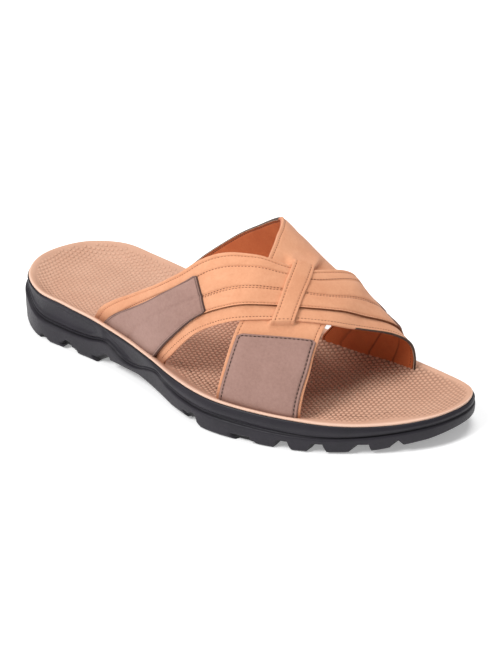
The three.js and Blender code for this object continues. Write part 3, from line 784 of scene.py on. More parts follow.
def grow(name, points, edges, faces, marks, tree, names, inputs):
    """Runs a tree on a plain mesh and returns what it made as a plain mesh object."""
    data = bpy.data.meshes.new(name + "_ground")
    data.from_pydata((np.asarray(points) * MM).tolist(), edges, faces)
    for key, values in marks.items():
        values = np.asarray(values, np.float32)
        kind, field = ("FLOAT_VECTOR", "vector") if values.ndim == 2 else ("FLOAT", "value")
        data.attributes.new(key, kind, "POINT").data.foreach_set(field, values.ravel())
    ground = bpy.data.objects.new(name + "_ground", data)
    bpy.context.scene.collection.objects.link(ground)
    modifier = ground.modifiers.new("grow", "NODES")
    modifier.node_group = tree
    for label, value in inputs.items():
        modifier[names[label]] = value
    bpy.context.view_layer.update()
    made = bpy.data.meshes.new_from_object(ground.evaluated_get(bpy.context.evaluated_depsgraph_get()))
    made.name = name
    ground.modifiers.remove(modifier)
    bpy.data.objects.remove(ground)
    bpy.data.meshes.remove(data)
    grown = bpy.data.objects.new(name, made)
    bpy.context.scene.collection.objects.link(grown)
    return grown


def square_to(tree, outward):
    """A rotation that stands a form on a face whose outward direction is given."""
    return add_node(tree, "FunctionNodeAlignRotationToVector", {"Vector": outward}, axis="Z").outputs["Rotation"]


def finish_tree(tree, ends, instances, material):
    """Realize Instances, smooth shading and Set Material, the last steps of both trees."""
    real = add_node(tree, "GeometryNodeRealizeInstances", {"Geometry": instances})
    shaded = add_node(tree, "GeometryNodeSetShadeSmooth", {"Geometry": real.outputs["Geometry"]})
    inputs = {"Geometry": shaded.outputs["Geometry"], "Material": material}
    finished = add_node(tree, "GeometryNodeSetMaterial", inputs)
    tree.links.new(finished.outputs["Geometry"], ends.inputs["Geometry"])


# %% Geometry Nodes: forms spread over a face
field_tree, field_in, field_out, field_names = new_tree(
    "forms_on_a_face",
    [
        ("Pitch Along", "NodeSocketFloat"), ("Pitch Across", "NodeSocketFloat"), ("Count Along", "NodeSocketInt"),
        ("Count Across", "NodeSocketInt"), ("Start Height", "NodeSocketFloat"), ("Way", "NodeSocketVector"),
        ("Size", "NodeSocketVector"), ("Finish", "NodeSocketMaterial"),
    ],
)


def grid_span(count, pitch):
    gaps = add_node(field_tree, "ShaderNodeMath", {0: field_in.outputs[count], 1: -1.0}, operation="ADD")
    span = add_node(field_tree, "ShaderNodeMath", {0: gaps.outputs[0], 1: field_in.outputs[pitch]}, operation="MULTIPLY")
    return span.outputs[0]


points_grid = add_node(
    field_tree, "GeometryNodeMeshGrid",
    {
        "Size X": grid_span("Count Along", "Pitch Along"), "Size Y": grid_span("Count Across", "Pitch Across"),
        "Vertices X": field_in.outputs["Count Along"], "Vertices Y": field_in.outputs["Count Across"],
    },
)
both_grids = add_node(field_tree, "GeometryNodeJoinGeometry")
for stagger in (0.0, 0.5):
    shift = [
        add_node(field_tree, "ShaderNodeMath", {0: field_in.outputs[pitch], 1: stagger}, operation="MULTIPLY")
        for pitch in ("Pitch Along", "Pitch Across")
    ]
    place = add_node(
        field_tree, "ShaderNodeCombineXYZ",
        {"X": shift[0].outputs[0], "Y": shift[1].outputs[0], "Z": field_in.outputs["Start Height"]},
    )
    moved = add_node(
        field_tree, "GeometryNodeTransform",
        {"Geometry": points_grid.outputs["Mesh"], "Translation": place.outputs["Vector"]},
    )
    field_tree.links.new(moved.outputs["Geometry"], both_grids.inputs["Geometry"])
fade_there = add_node(field_tree, "GeometryNodeInputNamedAttribute", {"Name": "fade"}, data_type="FLOAT")
dropped = add_node(
    field_tree, "GeometryNodeRaycast",
    {
        "Target Geometry": field_in.outputs["Geometry"], "Attribute": fade_there.outputs["Attribute"],
        "Ray Direction": field_in.outputs["Way"], "Ray Length": 0.2,
    },
    data_type="FLOAT",
)
with_out = add_node(
    field_tree, "GeometryNodeStoreNamedAttribute",
    {"Geometry": both_grids.outputs["Geometry"], "Name": "out", "Value": dropped.outputs["Hit Normal"]},
    data_type="FLOAT_VECTOR", domain="POINT",
)
with_fade = add_node(
    field_tree, "GeometryNodeStoreNamedAttribute",
    {"Geometry": with_out.outputs["Geometry"], "Name": "near", "Value": dropped.outputs["Attribute"]},
    data_type="FLOAT", domain="POINT",
)
missed = add_node(field_tree, "FunctionNodeBooleanMath", {0: dropped.outputs["Is Hit"]}, operation="NOT")
kept = add_node(
    field_tree, "GeometryNodeDeleteGeometry",
    {"Geometry": with_fade.outputs["Geometry"], "Selection": missed.outputs[0]}, domain="POINT",
)
landed = add_node(
    field_tree, "GeometryNodeSetPosition",
    {"Geometry": kept.outputs["Geometry"], "Position": dropped.outputs["Hit Position"]},
)
face_out = add_node(field_tree, "GeometryNodeInputNamedAttribute", {"Name": "out"}, data_type="FLOAT_VECTOR")
near_here = add_node(field_tree, "GeometryNodeInputNamedAttribute", {"Name": "near"}, data_type="FLOAT")
flatter = add_node(
    field_tree, "ShaderNodeCombineXYZ", {"X": 1.0, "Y": 1.0, "Z": near_here.outputs["Attribute"]}
)
form_size = add_node(
    field_tree, "ShaderNodeVectorMath", {0: field_in.outputs["Size"], 1: flatter.outputs["Vector"]},
    operation="MULTIPLY",
)
small_form = add_node(field_tree, "GeometryNodeMeshUVSphere", {"Segments": 8, "Rings": 4, "Radius": 0.5})
forms = add_node(
    field_tree, "GeometryNodeInstanceOnPoints",
    {
        "Points": landed.outputs["Geometry"], "Instance": small_form.outputs["Mesh"],
        "Rotation": square_to(field_tree, face_out.outputs["Attribute"]), "Scale": form_size.outputs["Vector"],
    },
)
finish_tree(field_tree, field_out, forms.outputs["Instances"], field_in.outputs["Finish"])

# %% Geometry Nodes: threads along rows
stitch_tree, stitch_in, stitch_out, stitch_names = new_tree(
    "threads_along_rows",
    [("Pitch", "NodeSocketFloat"), ("Size", "NodeSocketVector"), ("Finish", "NodeSocketMaterial")],
)
rows_curve = add_node(stitch_tree, "GeometryNodeMeshToCurve", {"Mesh": stitch_in.outputs["Geometry"]})
spaced = add_node(
    stitch_tree, "GeometryNodeResampleCurve",
    {"Curve": rows_curve.outputs["Curve"], "Length": stitch_in.outputs["Pitch"]}, mode="LENGTH",
)
surface_out = add_node(stitch_tree, "GeometryNodeInputNamedAttribute", {"Name": "out"}, data_type="FLOAT_VECTOR")
row_way = add_node(stitch_tree, "GeometryNodeInputTangent")
turned = add_node(
    stitch_tree, "FunctionNodeAlignRotationToVector",
    {
        "Rotation": square_to(stitch_tree, surface_out.outputs["Attribute"]),
        "Vector": row_way.outputs["Tangent"],
    },
    axis="X", pivot_axis="Z",
)
one_thread = add_node(stitch_tree, "GeometryNodeMeshUVSphere", {"Segments": 6, "Rings": 4, "Radius": 0.5})
threads = add_node(
    stitch_tree, "GeometryNodeInstanceOnPoints",
    {
        "Points": spaced.outputs["Curve"], "Instance": one_thread.outputs["Mesh"],
        "Rotation": turned.outputs["Rotation"], "Scale": stitch_in.outputs["Size"],
    },
)
finish_tree(stitch_tree, stitch_out, threads.outputs["Instances"], stitch_in.outputs["Finish"])
print("trees:", field_tree.name, stitch_tree.name)


# %% Fine tread under the heel and the ball
def field_values(pitch, count, height, way, size, finish):
    return {
        "Pitch Along": pitch[0] * MM, "Pitch Across": pitch[1] * MM, "Count Along": count[0],
        "Count Across": count[1], "Start Height": height * MM, "Way": way,
        "Size": [value * MM for value in size], "Finish": finish,
    }


flat_faces = [
    face for face in under_faces
    if all(ground_z(station_of(sole_points[k, 0])) < 0.5 for k in face)
    and all(0.9 * TREAD_DEPTH < sole_points[k, 2] < 1.2 * TREAD_DEPTH for k in face)
]
tread = grow(
    "fine_tread", sole_points, [], [face[::-1] for face in flat_faces], {"fade": np.ones(len(sole_points))},
    field_tree, field_names,
    field_values((9.0, 5.2), (34, 24), -20.0, (0, 0, 1), (6.4, 2.2, 1.5), sole_rubber),
)
finish_piece(tread, "sole_rubber")

# %% [markdown]
# The footbed lies in the outsole and shows a thin pale edge above the black wall. Its top has a smooth
# sloping border about 7 mm wide. Inside it lies a field of low oval nubs, sunk a little, in a dish.


# %% Footbed
FIELD_INSET = 3.6
HEEL_BORDER, NEAR_BORDER = 1.4, 2.6
FIELD_SUNK = 0.15
NUB_PITCH = (4.6, 2.9)
NUB_SIZE = (2.35, 2.45, 0.8)
near_side = ease(-rim_points[:, 1], -8, 14)
border = 1 + near_side * (HEEL_BORDER - 1 + (NEAR_BORDER - HEEL_BORDER) * ease(wall_s, 0.2, 0.5))


def footbed_top(inset):
    """The top at an inset; insets up to the field are wider by the border's share on the near side."""
    share = dish_share(inset)
    sunk = FIELD_SUNK * ease(np.min(inset), FIELD_INSET - 0.5, FIELD_INSET + 0.6)
    return lambda s: edge_z(s) + RIM - dish_depth(s) * share - sunk


def bordered(inset):
    """An inset near the edge, widened on the near side and back to even further in."""
    return inset * (1 + (border - 1) * (1 - ease(inset, 5.0, 16.0)))


# inset from the edge, how full the nubs are there
FIELD_RINGS = [(18.0, 1), (16.0, 1), (14.0, 1), (12.0, 1), (10.0, 1), (8.0, 1), (6.4, 1), (5.0, 0.8), (4.0, 0.35)]
BORDER_RINGS = [(3.7, 0), (3.4, 0), (3.1, 0), (2.6, 0), (2.1, 0), (1.6, 0)]
FOOTBED_ACROSS = 22
footbed_rings = []
for inset, _ in FIELD_RINGS + BORDER_RINGS:
    here = bordered(inset)
    flat = ring(here, lambda s: 0 * s)
    flat[:, 2] = footbed_top(here)(station_of(flat[:, 0]))
    footbed_rings.append(flat)
footbed_rings += [
    ring(1.25, lambda s: footbed_top(0)(s) - 0.05),
    ring(0.95, lambda s: footbed_top(0)(s) - 0.2),
    ring(0.8, lambda s: footbed_top(0)(s) - 0.5),
    ring(0.85, lambda s: edge_z(s) + 0.6),
    ring(0.95, lambda s: edge_z(s) + 0.12),
    ring(2.6, lambda s: edge_z(s) + 0.12),
    ring(18.0, lambda s: footbed_top(18.0)(s) - 2.2),
]
footbed_points = np.vstack(footbed_rings)
footbed_faces = grid_faces(len(footbed_rings), AROUND, wrap=True).tolist()
top_points, outer_ids, inner_ids = ladder(
    footbed_rings[0], 0, FOOTBED_ACROSS, lambda s, share: footbed_top(18.0)(s)
)
middle_faces = ladder_faces(outer_ids, inner_ids, FOOTBED_ACROSS, len(footbed_points))
footbed_faces += middle_faces
footbed_points = np.vstack([footbed_points, top_points])
base_start = (len(footbed_rings) - 1) * AROUND
base_points, outer_ids, inner_ids = ladder(
    footbed_rings[-1], base_start, 6, lambda s, share: footbed_top(18.0)(s) - 2.2
)
base_faces = ladder_faces(outer_ids, inner_ids, 6, len(footbed_points))
footbed_faces += [face[::-1] for face in base_faces]
footbed_points = np.vstack([footbed_points, base_points])
rim_mark = np.zeros(len(footbed_points))
# The field mark first holds how full the nubs are, then the painted shade on the ground between them.
field_mark = np.zeros(len(footbed_points))
rim_start = len(FIELD_RINGS + BORDER_RINGS) * AROUND
rim_mark[rim_start : rim_start + 5 * AROUND] = 1
for k, (_, full) in enumerate(FIELD_RINGS):
    field_mark[k * AROUND : (k + 1) * AROUND] = full
field_mark[len(footbed_rings) * AROUND :] = 1
# Towards the ball the nubs stand taller and the ground between them gets more painted shade; both are weakest at the
# heel and ease off again towards the toe.
bed_s = station_of(footbed_points[:, 0])
nub_relief_and_shade = ease(bed_s, 0.3, 0.5) * (1 - 0.5 * ease(bed_s, 0.8, 0.95))
nub_fill = field_mark * (0.6 + 0.4 * nub_relief_and_shade)
field_mark *= 0.15 + 0.85 * nub_relief_and_shade
footbed = make_mesh(
    "footbed_bed", footbed_points, footbed_faces, [footbed_foam], marks={"rim": rim_mark, "field": field_mark}
)
finish_piece(footbed, "footbed_foam", "footbed")

# %% Nubs of the footbed
field_faces = grid_faces(len(FIELD_RINGS), AROUND, wrap=True).tolist() + middle_faces
facing = np.cross(*(footbed_points[middle_faces[40][k]] - footbed_points[middle_faces[40][0]] for k in (1, 2)))
if facing[2] < 0:
    field_faces = [face[::-1] for face in field_faces]
nubs = grow(
    "footbed_nubs", footbed_points, [], field_faces, {"fade": nub_fill}, field_tree, field_names,
    field_values(NUB_PITCH, (66, 42), 80.0, (0, 0, -1), NUB_SIZE, footbed_foam),
)
finish_piece(nubs, "footbed_foam")


# %% [markdown]
# The straps lie on an arch. At each station its section is half a superellipse, boxier on the inner
# side, standing on the sole's two edges. A point of a strap is a point of the arch moved out along the
# arch's normal, so layers, seams and creases are all just small changes of that one distance.


# %% The arch under the straps
def arch_point(s, over):
    lateral = lateral_share(s) * BALL_WIDTH + LATERAL_INSET
    medial = medial_share(s) * BALL_WIDTH - MEDIAL_INSET
    crown = lateral + (medial - lateral) * CROWN_SHARE
    is_lateral = over < CROWN_SHARE
    angle = np.where(is_lateral, over / CROWN_SHARE, (1 - over) / (1 - CROWN_SHARE)) * np.pi / 2
    roundness = np.where(is_lateral, LATERAL_ROUNDNESS, MEDIAL_ROUNDNESS)
    cosine, sine = np.maximum(np.cos(angle), 0), np.maximum(np.sin(angle), 0)
    radius = (cosine**roundness + sine**roundness) ** (-1 / roundness)
    reach = cosine * radius * (np.where(is_lateral, lateral, medial) - crown)
    rise = sine * radius * arch_share(s) * INSTEP_HEIGHT
    return np.stack([x_of(s), crown + reach, edge_z(s) + 0.2 + rise], -1)


def arch_normal(s, over):
    """The direction out of the arch; level at both feet."""
    step = 0.002
    across = arch_point(s, np.minimum(over + step, 1)) - arch_point(s, np.maximum(over - step, 0))
    along = arch_point(s + step, over) - arch_point(s - step, over)
    out = np.cross(along, across)
    at_end = (over <= 0) | (over >= 1)
    out[..., 2] = np.where(at_end, 0, out[..., 2])
    return out / np.linalg.norm(out, axis=-1, keepdims=True)


def sheet_point(s, over, off, sink=0.0):
    """A point of a strap: station, share of the way over, distance out from the arch, depth sunk."""
    s, over, off, sink = np.broadcast_arrays(s, over, off, sink)
    moved = arch_point(s, over) + arch_normal(s, over) * off[..., None]
    moved[..., 2] -= sink
    return moved


def even_overs(rear, front, step, low=0.0, high=1.0):
    """Shares of the way over, about step millimetres apart along the middle of a strap."""
    fine = np.linspace(low, high, 4000)
    path = arch_point((rear(fine) + front(fine)) / 2, fine)
    length = np.concatenate([[0], np.cumsum(np.linalg.norm(np.diff(path, axis=0), axis=1))])
    count = max(2, int(round(length[-1] / step)) + 1)
    return np.interp(np.linspace(0, length[-1], count), length, fine)


CROSSING_RUN = 0.05


def lift(s, over, width):
    """How far the over strap rises where it lies on the under strap."""
    before = ease(s, under_rear(over) - CROSSING_RUN, under_rear(over))
    after = ease(s, under_front(over), under_front(over) + CROSSING_RUN)
    return (STRAP_THICKNESS - WELD) * before * (1 - after) + over_stand(over) * (1 - width)


for name, share in (("outer foot", 0.0), ("crown", CROWN_SHARE), ("inner foot", 1.0)):
    print(name, "of the arch at the ball:", np.round(arch_point(np.array(0.62), np.array(share)), 1))

# %% [markdown]
# A strap is a closed sheet. Its section across the width runs over the outer face, round one cut edge,
# back over the lining and round the other edge. The edge faces take their own materials, so the dark
# cut leather, the pale ply and the lining show as thin lines, as they do on a stitched strap. On the
# outer side of the foot the face leather wraps the edge, so there the edge faces are tan.

# %% Strap builder
FACE, EDGE, PLY, LINING = 0, 1, 2, 3
# inwards from the edge in mm, height as a share of the thickness, what the face after it is made of
EDGE_PROFILE = [
    (0.5, 1.0, EDGE), (0.16, 0.97, EDGE), (0.0, 0.84, EDGE), (-0.05, 0.6, EDGE), (-0.04, 0.4, EDGE),
    (0.02, 0.2, EDGE), (0.1, 0.05, EDGE), (0.4, 0.0, PLY), (1.1, 0.0, LINING),
]


def strap(name, rear, front, outer, inner, overs, widths, mm_per_width, cut, seams, materials, sinks):
    """A strap sheet; outer and inner give the distance from the arch at (s, over, width).

    cut is the side whose cut edge shows, "rear" or "front", and the share of the way over from where;
    seams are (row, half width).
    """
    first_edge = [(inwards / mm_per_width, mix, kind) for inwards, mix, kind in EDGE_PROFILE]
    body = [w for w in widths if first_edge[0][0] < w < 1 - first_edge[0][0]]
    turns = [(1 - inwards, mix, kind) for inwards, mix, kind in first_edge]
    back = first_edge[::-1]
    kinds_back = [kind for _, _, kind in back[1:]] + [FACE]
    section = [(w, 1.0, FACE) for w in body] + turns + [(w, 0.0, LINING) for w in body[::-1]]
    section += [(inwards, mix, kind) for (inwards, mix, _), kind in zip(back, kinds_back)]
    shares = np.array([row[0] for row in section])
    mixes = np.array([row[1] for row in section])
    kinds = np.array([row[2] for row in section])

    rows = [(overs[0], sink) for sink in sinks] + [(o, 0.0) for o in overs]
    rows += [(overs[-1], sink) for sink in sinks[::-1]]
    over = np.array([row[0] for row in rows])[:, None]
    sink = np.array([row[1] for row in rows])[:, None]
    width = np.broadcast_to(shares[None, :], (len(rows), len(shares)))
    s = rear(over) + (front(over) - rear(over)) * width
    over = np.broadcast_to(over, s.shape)
    low, high = inner(s, over, width), outer(s, over, width)
    points = sheet_point(s, over, low + (high - low) * mixes[None, :], np.broadcast_to(sink, s.shape))
    count = len(shares)
    faces = grid_faces(len(rows), count, wrap=True).tolist()
    index = np.tile(kinds, (len(rows) - 1, 1))
    at_edge = (kinds == EDGE) | (kinds == PLY)
    bare = (over[:-1, :1] > cut[1]) & ((shares > 0.5) == (cut[0] == "front"))[None, :]
    index = np.where(at_edge[None, :] & ~bare, np.where(mixes > 0.3, FACE, LINING)[None, :], index).ravel().tolist()
    faces.append(list(range(count))[::-1])
    faces.append([(len(rows) - 1) * count + k for k in range(count)])
    index += [LINING, LINING]
    # Painted shade along each stitch row, where the trough pulls the leather in.
    seam_and_edge_shade = np.zeros(s.shape)
    for row, half_width in seams:
        here = row(over) if callable(row) else row
        seam_and_edge_shade = np.maximum(seam_and_edge_shade, bump_at((width - here) * mm_per_width, 0, half_width))
    seam_and_edge_shade = seam_and_edge_shade * ((mixes > 0.99) | (mixes < 0.01))[None, :]
    # Painted shade near both ends of the strap, where it goes down into the footbed.
    foot = np.maximum(bump_at(over, 0, 0.03), bump_at(over, 1, 0.03))
    marks = {"seam_and_edge_shade": seam_and_edge_shade, "foot": foot}
    return make_mesh(name, points.reshape(-1, 3), faces, materials, index, marks)


def seam_dip(width, mm_per_width, rows, depth, half_width):
    """Soft troughs where stitch rows pull the leather in."""
    dip = 0 * width
    for row in rows:
        dip = np.maximum(dip, bump_at((width - row) * mm_per_width, 0, half_width))
    return -depth * dip


def puff(width, rows, height):
    """A low cushion between each pair of neighbouring rows."""
    value = 0 * width
    for low, high in zip(rows, rows[1:]):
        t = np.clip((width - low) / (high - low), 0, 1)
        value = np.maximum(value, (4 * t * (1 - t)) ** 0.6)
    return height * value


# %% [markdown]
# Creases in nubuck are shallow and soft. Each is listed: where its middle lies on the strap, the
# way it runs, how long and wide it is, and how deep. A negative depth is a low ridge beside a trough.

# %% Creases, listed one by one
# over, width share, run over the arch, run across the strap, half width across its line (mm), depth (mm)
OVER_CREASES = [
    (0.36, 0.34, 0.05, 0.06, 2.6, 0.35), (0.37, 0.4, 0.05, 0.05, 2.4, -0.25), (0.44, 0.64, 0.06, -0.05, 2.2, 0.3),
    (0.3, 0.62, 0.04, 0.05, 2.0, 0.25), (0.53, 0.33, 0.05, -0.04, 2.6, 0.3), (0.7, 0.6, 0.05, 0.05, 3.0, 0.35),
    (0.74, 0.4, 0.05, -0.04, 2.6, 0.3), (0.82, 0.55, 0.04, 0.12, 2.4, 0.4), (0.87, 0.4, 0.03, 0.14, 2.4, 0.35),
    (0.12, 0.3, 0.05, 0.05, 2.2, 0.2), (0.16, 0.9, 0.06, 0.01, 1.6, 0.2), (0.62, 0.9, 0.07, 0.01, 1.6, 0.25),
]
UNDER_CREASES = [
    (0.68, 0.42, 0.04, 0.1, 2.8, 0.4), (0.72, 0.5, 0.05, 0.08, 2.6, -0.25), (0.78, 0.3, 0.04, 0.12, 2.6, 0.35),
    (0.84, 0.6, 0.04, 0.1, 2.8, 0.35), (0.66, 0.7, 0.03, 0.08, 2.2, 0.3), (0.2, 0.5, 0.03, 0.1, 2.4, 0.2),
]
MM_PER_OVER = 205.0


def creases(table, over, width, mm_per_width):
    """The sum of the listed troughs and ridges at a point of a strap."""
    total = 0 * over * width
    for middle, middle_width, run, run_across, half_width, depth in table:
        a = (over - middle) * MM_PER_OVER
        b = (width - middle_width) * mm_per_width
        line = np.array([run * MM_PER_OVER, run_across * mm_per_width])
        reach = np.linalg.norm(line)
        along = (a * line[0] + b * line[1]) / reach
        aside = (a * line[1] - b * line[0]) / reach
        total = total - depth * bump_at(aside, 0, half_width) * bump_at(along, 0, reach)
    return total


print("creases:", len(OVER_CREASES), "on the over strap,", len(UNDER_CREASES), "on the under strap")
STRAP_MATERIALS = [tan_nubuck, cut_edge, pale_ply, lining_leather]
STRAP_STEP = 1.1
SINK_ROWS = [SINK - 0.3, 3.0, 1.5]

# %% Over strap: full-width layer with the front band
OVER_MM = 46.0
# share of the way over, where the panel ends on the band, as a share of the strap's width
PANEL_EDGE = [(0, 0.885), (0.08, 0.875), (0.13, 0.855), (0.19, 0.8), (0.25, 0.78), (0.5, 0.78), (0.7, 0.8), (1, 0.8)]
panel_edge = smooth(PANEL_EDGE, 1)
REAR_ROW, SECOND_ROW, DOUBLE_ROW, DOUBLE_GAP, FRONT_ROW = 0.055, 0.2, 0.505, 0.014, 0.948
over_overs = even_overs(over_rear, over_front, STRAP_STEP)


def last_row(over):
    """The stitch row just behind the panel's front edge."""
    return panel_edge(over) - 0.036


def band_outer(s, over, width):
    flat = lift(s, over, width) + BAND_THICKNESS + seam_dip(width, OVER_MM, [FRONT_ROW], 0.2, 0.7)
    return flat + 0.5 * creases(OVER_CREASES, over, width, OVER_MM)


def band_inner(s, over, width):
    return lift(s, over, width) - seam_dip(width, OVER_MM, [SECOND_ROW, DOUBLE_ROW, FRONT_ROW], 0.25, 0.6)


over_band = strap(
    "over_strap_band", over_rear, over_front, band_outer, band_inner, over_overs, np.linspace(0, 1, 64), OVER_MM,
    ("front", 0.57), [(row, 0.4) for row in (SECOND_ROW, DOUBLE_ROW, last_row)], STRAP_MATERIALS, SINK_ROWS,
)
finish_piece(over_band, "strap_nubuck", "upper")


# %% Over strap: the main panel on it
def panel_front(over):
    return over_rear(over) + (over_front(over) - over_rear(over)) * panel_edge(over)


def panel_face(s, over, width):
    """The panel's outer face at a share of the whole strap's width."""
    end = panel_edge(over)
    cushions = puff(width, [0.0, REAR_ROW, SECOND_ROW, DOUBLE_ROW - DOUBLE_GAP], 0.28)
    cushions = cushions + puff(width, [DOUBLE_ROW + DOUBLE_GAP, last_row(over), end + 0.01], 0.3)
    rows = [REAR_ROW, SECOND_ROW, DOUBLE_ROW - DOUBLE_GAP, DOUBLE_ROW + DOUBLE_GAP, last_row(over)]
    face = lift(s, over, width) + STRAP_THICKNESS + cushions + seam_dip(width, OVER_MM, rows, 0.3, 0.55)
    return face + creases(OVER_CREASES, over, width, OVER_MM)


def panel_outer(s, over, width):
    return panel_face(s, over, width * panel_edge(over))


def panel_inner(s, over, width):
    return lift(s, over, width * panel_edge(over)) + BAND_THICKNESS - 0.3


panel_seams = [
    (lambda over, row=row: row / panel_edge(over), 0.3)
    for row in (REAR_ROW, SECOND_ROW, DOUBLE_ROW - DOUBLE_GAP, DOUBLE_ROW + DOUBLE_GAP)
]
panel_seams.append((lambda over: last_row(over) / panel_edge(over), 0.3))
over_panel = strap(
    "over_strap_panel", over_rear, panel_front, panel_outer, panel_inner, over_overs, np.linspace(0, 1, 84),
    OVER_MM * 0.78, ("front", -1.0), panel_seams, [tan_nubuck, brown_cut, brown_cut, tan_nubuck], SINK_ROWS,
)
finish_piece(over_panel, "strap_nubuck", "upper")

# %% [markdown]
# The bridge is the middle strip of the under strap, cut free along both its sides, brought up in front of
# the over strap and laid back over it. Behind the over strap the strap stays up at the strip's height and
# sinks back slowly, so the strip's head shows no step; the over strap goes into a short slit beside it.

# %% Under strap
UNDER_MM = 44.0
UNDER_ROWS = [0.04, 0.945]
BRIDGE_FOOT = {"over": 0.347, "rear": 0.352, "front": 0.634}
BRIDGE_HEAD = {"over": 0.576, "rear": 0.28, "front": 0.554}
BRIDGE_SLANT = 0.052
BRIDGE_TOP = 2 * STRAP_THICKNESS - 2 * WELD + BRIDGE_THICKNESS
WING_RUN = 16.0
FOOT_RUN = 4.5
under_overs = even_overs(under_rear, under_front, STRAP_STEP)


def bridge_share(key, over):
    """Where an edge of the bridge lies, as a share of the under strap's width."""
    along = (over - BRIDGE_FOOT["over"]) / (BRIDGE_HEAD["over"] - BRIDGE_FOOT["over"])
    return BRIDGE_FOOT[key] + (BRIDGE_HEAD[key] - BRIDGE_FOOT[key]) * along


def strip_rise(s, over, width):
    """How far the under strap stands up behind and in front of the over strap, 1 at the bridge's ends."""
    beside = np.maximum(bridge_share("rear", over) - width, width - bridge_share("front", over)) * UNDER_MM
    rise = 0 * s
    for away, run, near in (
        ((over_rear(over) - s) * LENGTH, WING_RUN, ease(over, BRIDGE_HEAD["over"] - 0.05, BRIDGE_HEAD["over"] - 0.02)),
        ((s - over_front(over)) * LENGTH, FOOT_RUN, 1 - ease(over, BRIDGE_FOOT["over"] + 0.06, BRIDGE_FOOT["over"] + 0.1)),
    ):
        side = 1 - ease(beside, 0.1, 0.9 + 0.6 * run / WING_RUN * np.maximum(away, 0))
        rise = np.maximum(rise, near * ease(away, 0.2, 0.9) * (1 - ease(away, 0.8, run)) * side)
    return rise


def under_outer(s, over, width):
    face = STRAP_THICKNESS + seam_dip(width, UNDER_MM, UNDER_ROWS, 0.28, 0.55) + 0 * s
    strip = (BRIDGE_TOP - STRAP_THICKNESS) * strip_rise(s, over, width)
    return face + strip + creases(UNDER_CREASES, over, width, UNDER_MM)


def under_inner(s, over, width):
    return -seam_dip(width, UNDER_MM, UNDER_ROWS, 0.22, 0.6) + 0 * s


under_strap = strap(
    "under_strap", under_rear, under_front, under_outer, under_inner, under_overs, np.linspace(0, 1, 72), UNDER_MM,
    ("rear", 0.78), [(row, 0.3) for row in UNDER_ROWS], STRAP_MATERIALS, SINK_ROWS,
)
finish_piece(under_strap, "strap_nubuck", "upper")

# %% Bridge
BRIDGE_MM = 12.5
BRIDGE_ROWS = [0.15, 0.85]


def bridge_edge(key):
    return lambda over: under_rear(over) + (under_front(over) - under_rear(over)) * bridge_share(key, over)


def bridge_rise(over, width):
    share = over - BRIDGE_SLANT * width
    up = ease(share, BRIDGE_FOOT["over"] - 0.022, BRIDGE_FOOT["over"] - 0.006)
    down = ease(share, BRIDGE_HEAD["over"] + 0.016, BRIDGE_HEAD["over"] + 0.03)
    return up * (1 - down)


def bridge_outer(s, over, width):
    rise = bridge_rise(over, width)
    sunk = STRAP_THICKNESS - 0.25
    crown = np.clip(4 * width * (1 - width), 0, 1) ** 0.6
    body = sunk + rise * (BRIDGE_TOP - sunk + 0.25 * crown)
    return body + rise * seam_dip(width, BRIDGE_MM, BRIDGE_ROWS, 0.28, 0.5)


def bridge_inner(s, over, width):
    return 1.0 + bridge_rise(over, width) * (2 * (STRAP_THICKNESS - WELD) - 0.6)


bridge_overs = np.linspace(BRIDGE_FOOT["over"] - 0.03, BRIDGE_HEAD["over"] + BRIDGE_SLANT + 0.04, 190)
bridge = strap(
    "bridge", bridge_edge("rear"), bridge_edge("front"), bridge_outer, bridge_inner, bridge_overs,
    np.linspace(0, 1, 30), BRIDGE_MM, ("front", 2.0), [(row, 0.3) for row in BRIDGE_ROWS],
    [tan_nubuck, tan_nubuck, tan_nubuck, tan_nubuck], [],
)
finish_piece(bridge, "strap_nubuck", "upper")

# %% [markdown]
# The brown patches are thin nubuck pieces sewn on the strap ends. Each is a grid laid on its strap, with
# its outline rounded at the upper corners, a face that rolls down at its edge, and a stitched channel.

# %% Patch builder
PATCH_MM = 38.0
CORNER = 3.2
EDGE_INSETS = np.array([0.15, 0.35, 0.6, 1.0, 1.5, 2.0]) / PATCH_MM
across_grid = np.unique(np.concatenate([np.linspace(0, 1, 44), EDGE_INSETS, 1 - EDGE_INSETS]))
PATCH_RISE_ROWS = 60


def share(value):
    return lambda t: value + 0 * t


def patch_reach(spec, across):
    """How far up the patch goes in mm at a share across it; its upper corners are round."""
    rise = 0.8 * spec["top"]
    width = spec["low"](rise) + (spec["high"](rise) - spec["low"](rise)) * across
    nearest = np.minimum(across, 1 - across) * PATCH_MM
    drop = CORNER - np.sqrt(np.maximum(CORNER**2 - np.maximum(CORNER - nearest, 0) ** 2, 0))
    return (spec["top"] + spec["slope"] * width) * spec["mm"] - drop


def patch_place(spec, across, up):
    """Station, share of the way over and share of the strap's width at a place on a patch."""
    rise = up / spec["mm"]
    over = np.abs(spec["foot"] - rise)
    width = spec["low"](rise) + (spec["high"](rise) - spec["low"](rise)) * across
    s = spec["rear"](over) + (spec["front"](over) - spec["rear"](over)) * width
    return s, over, width


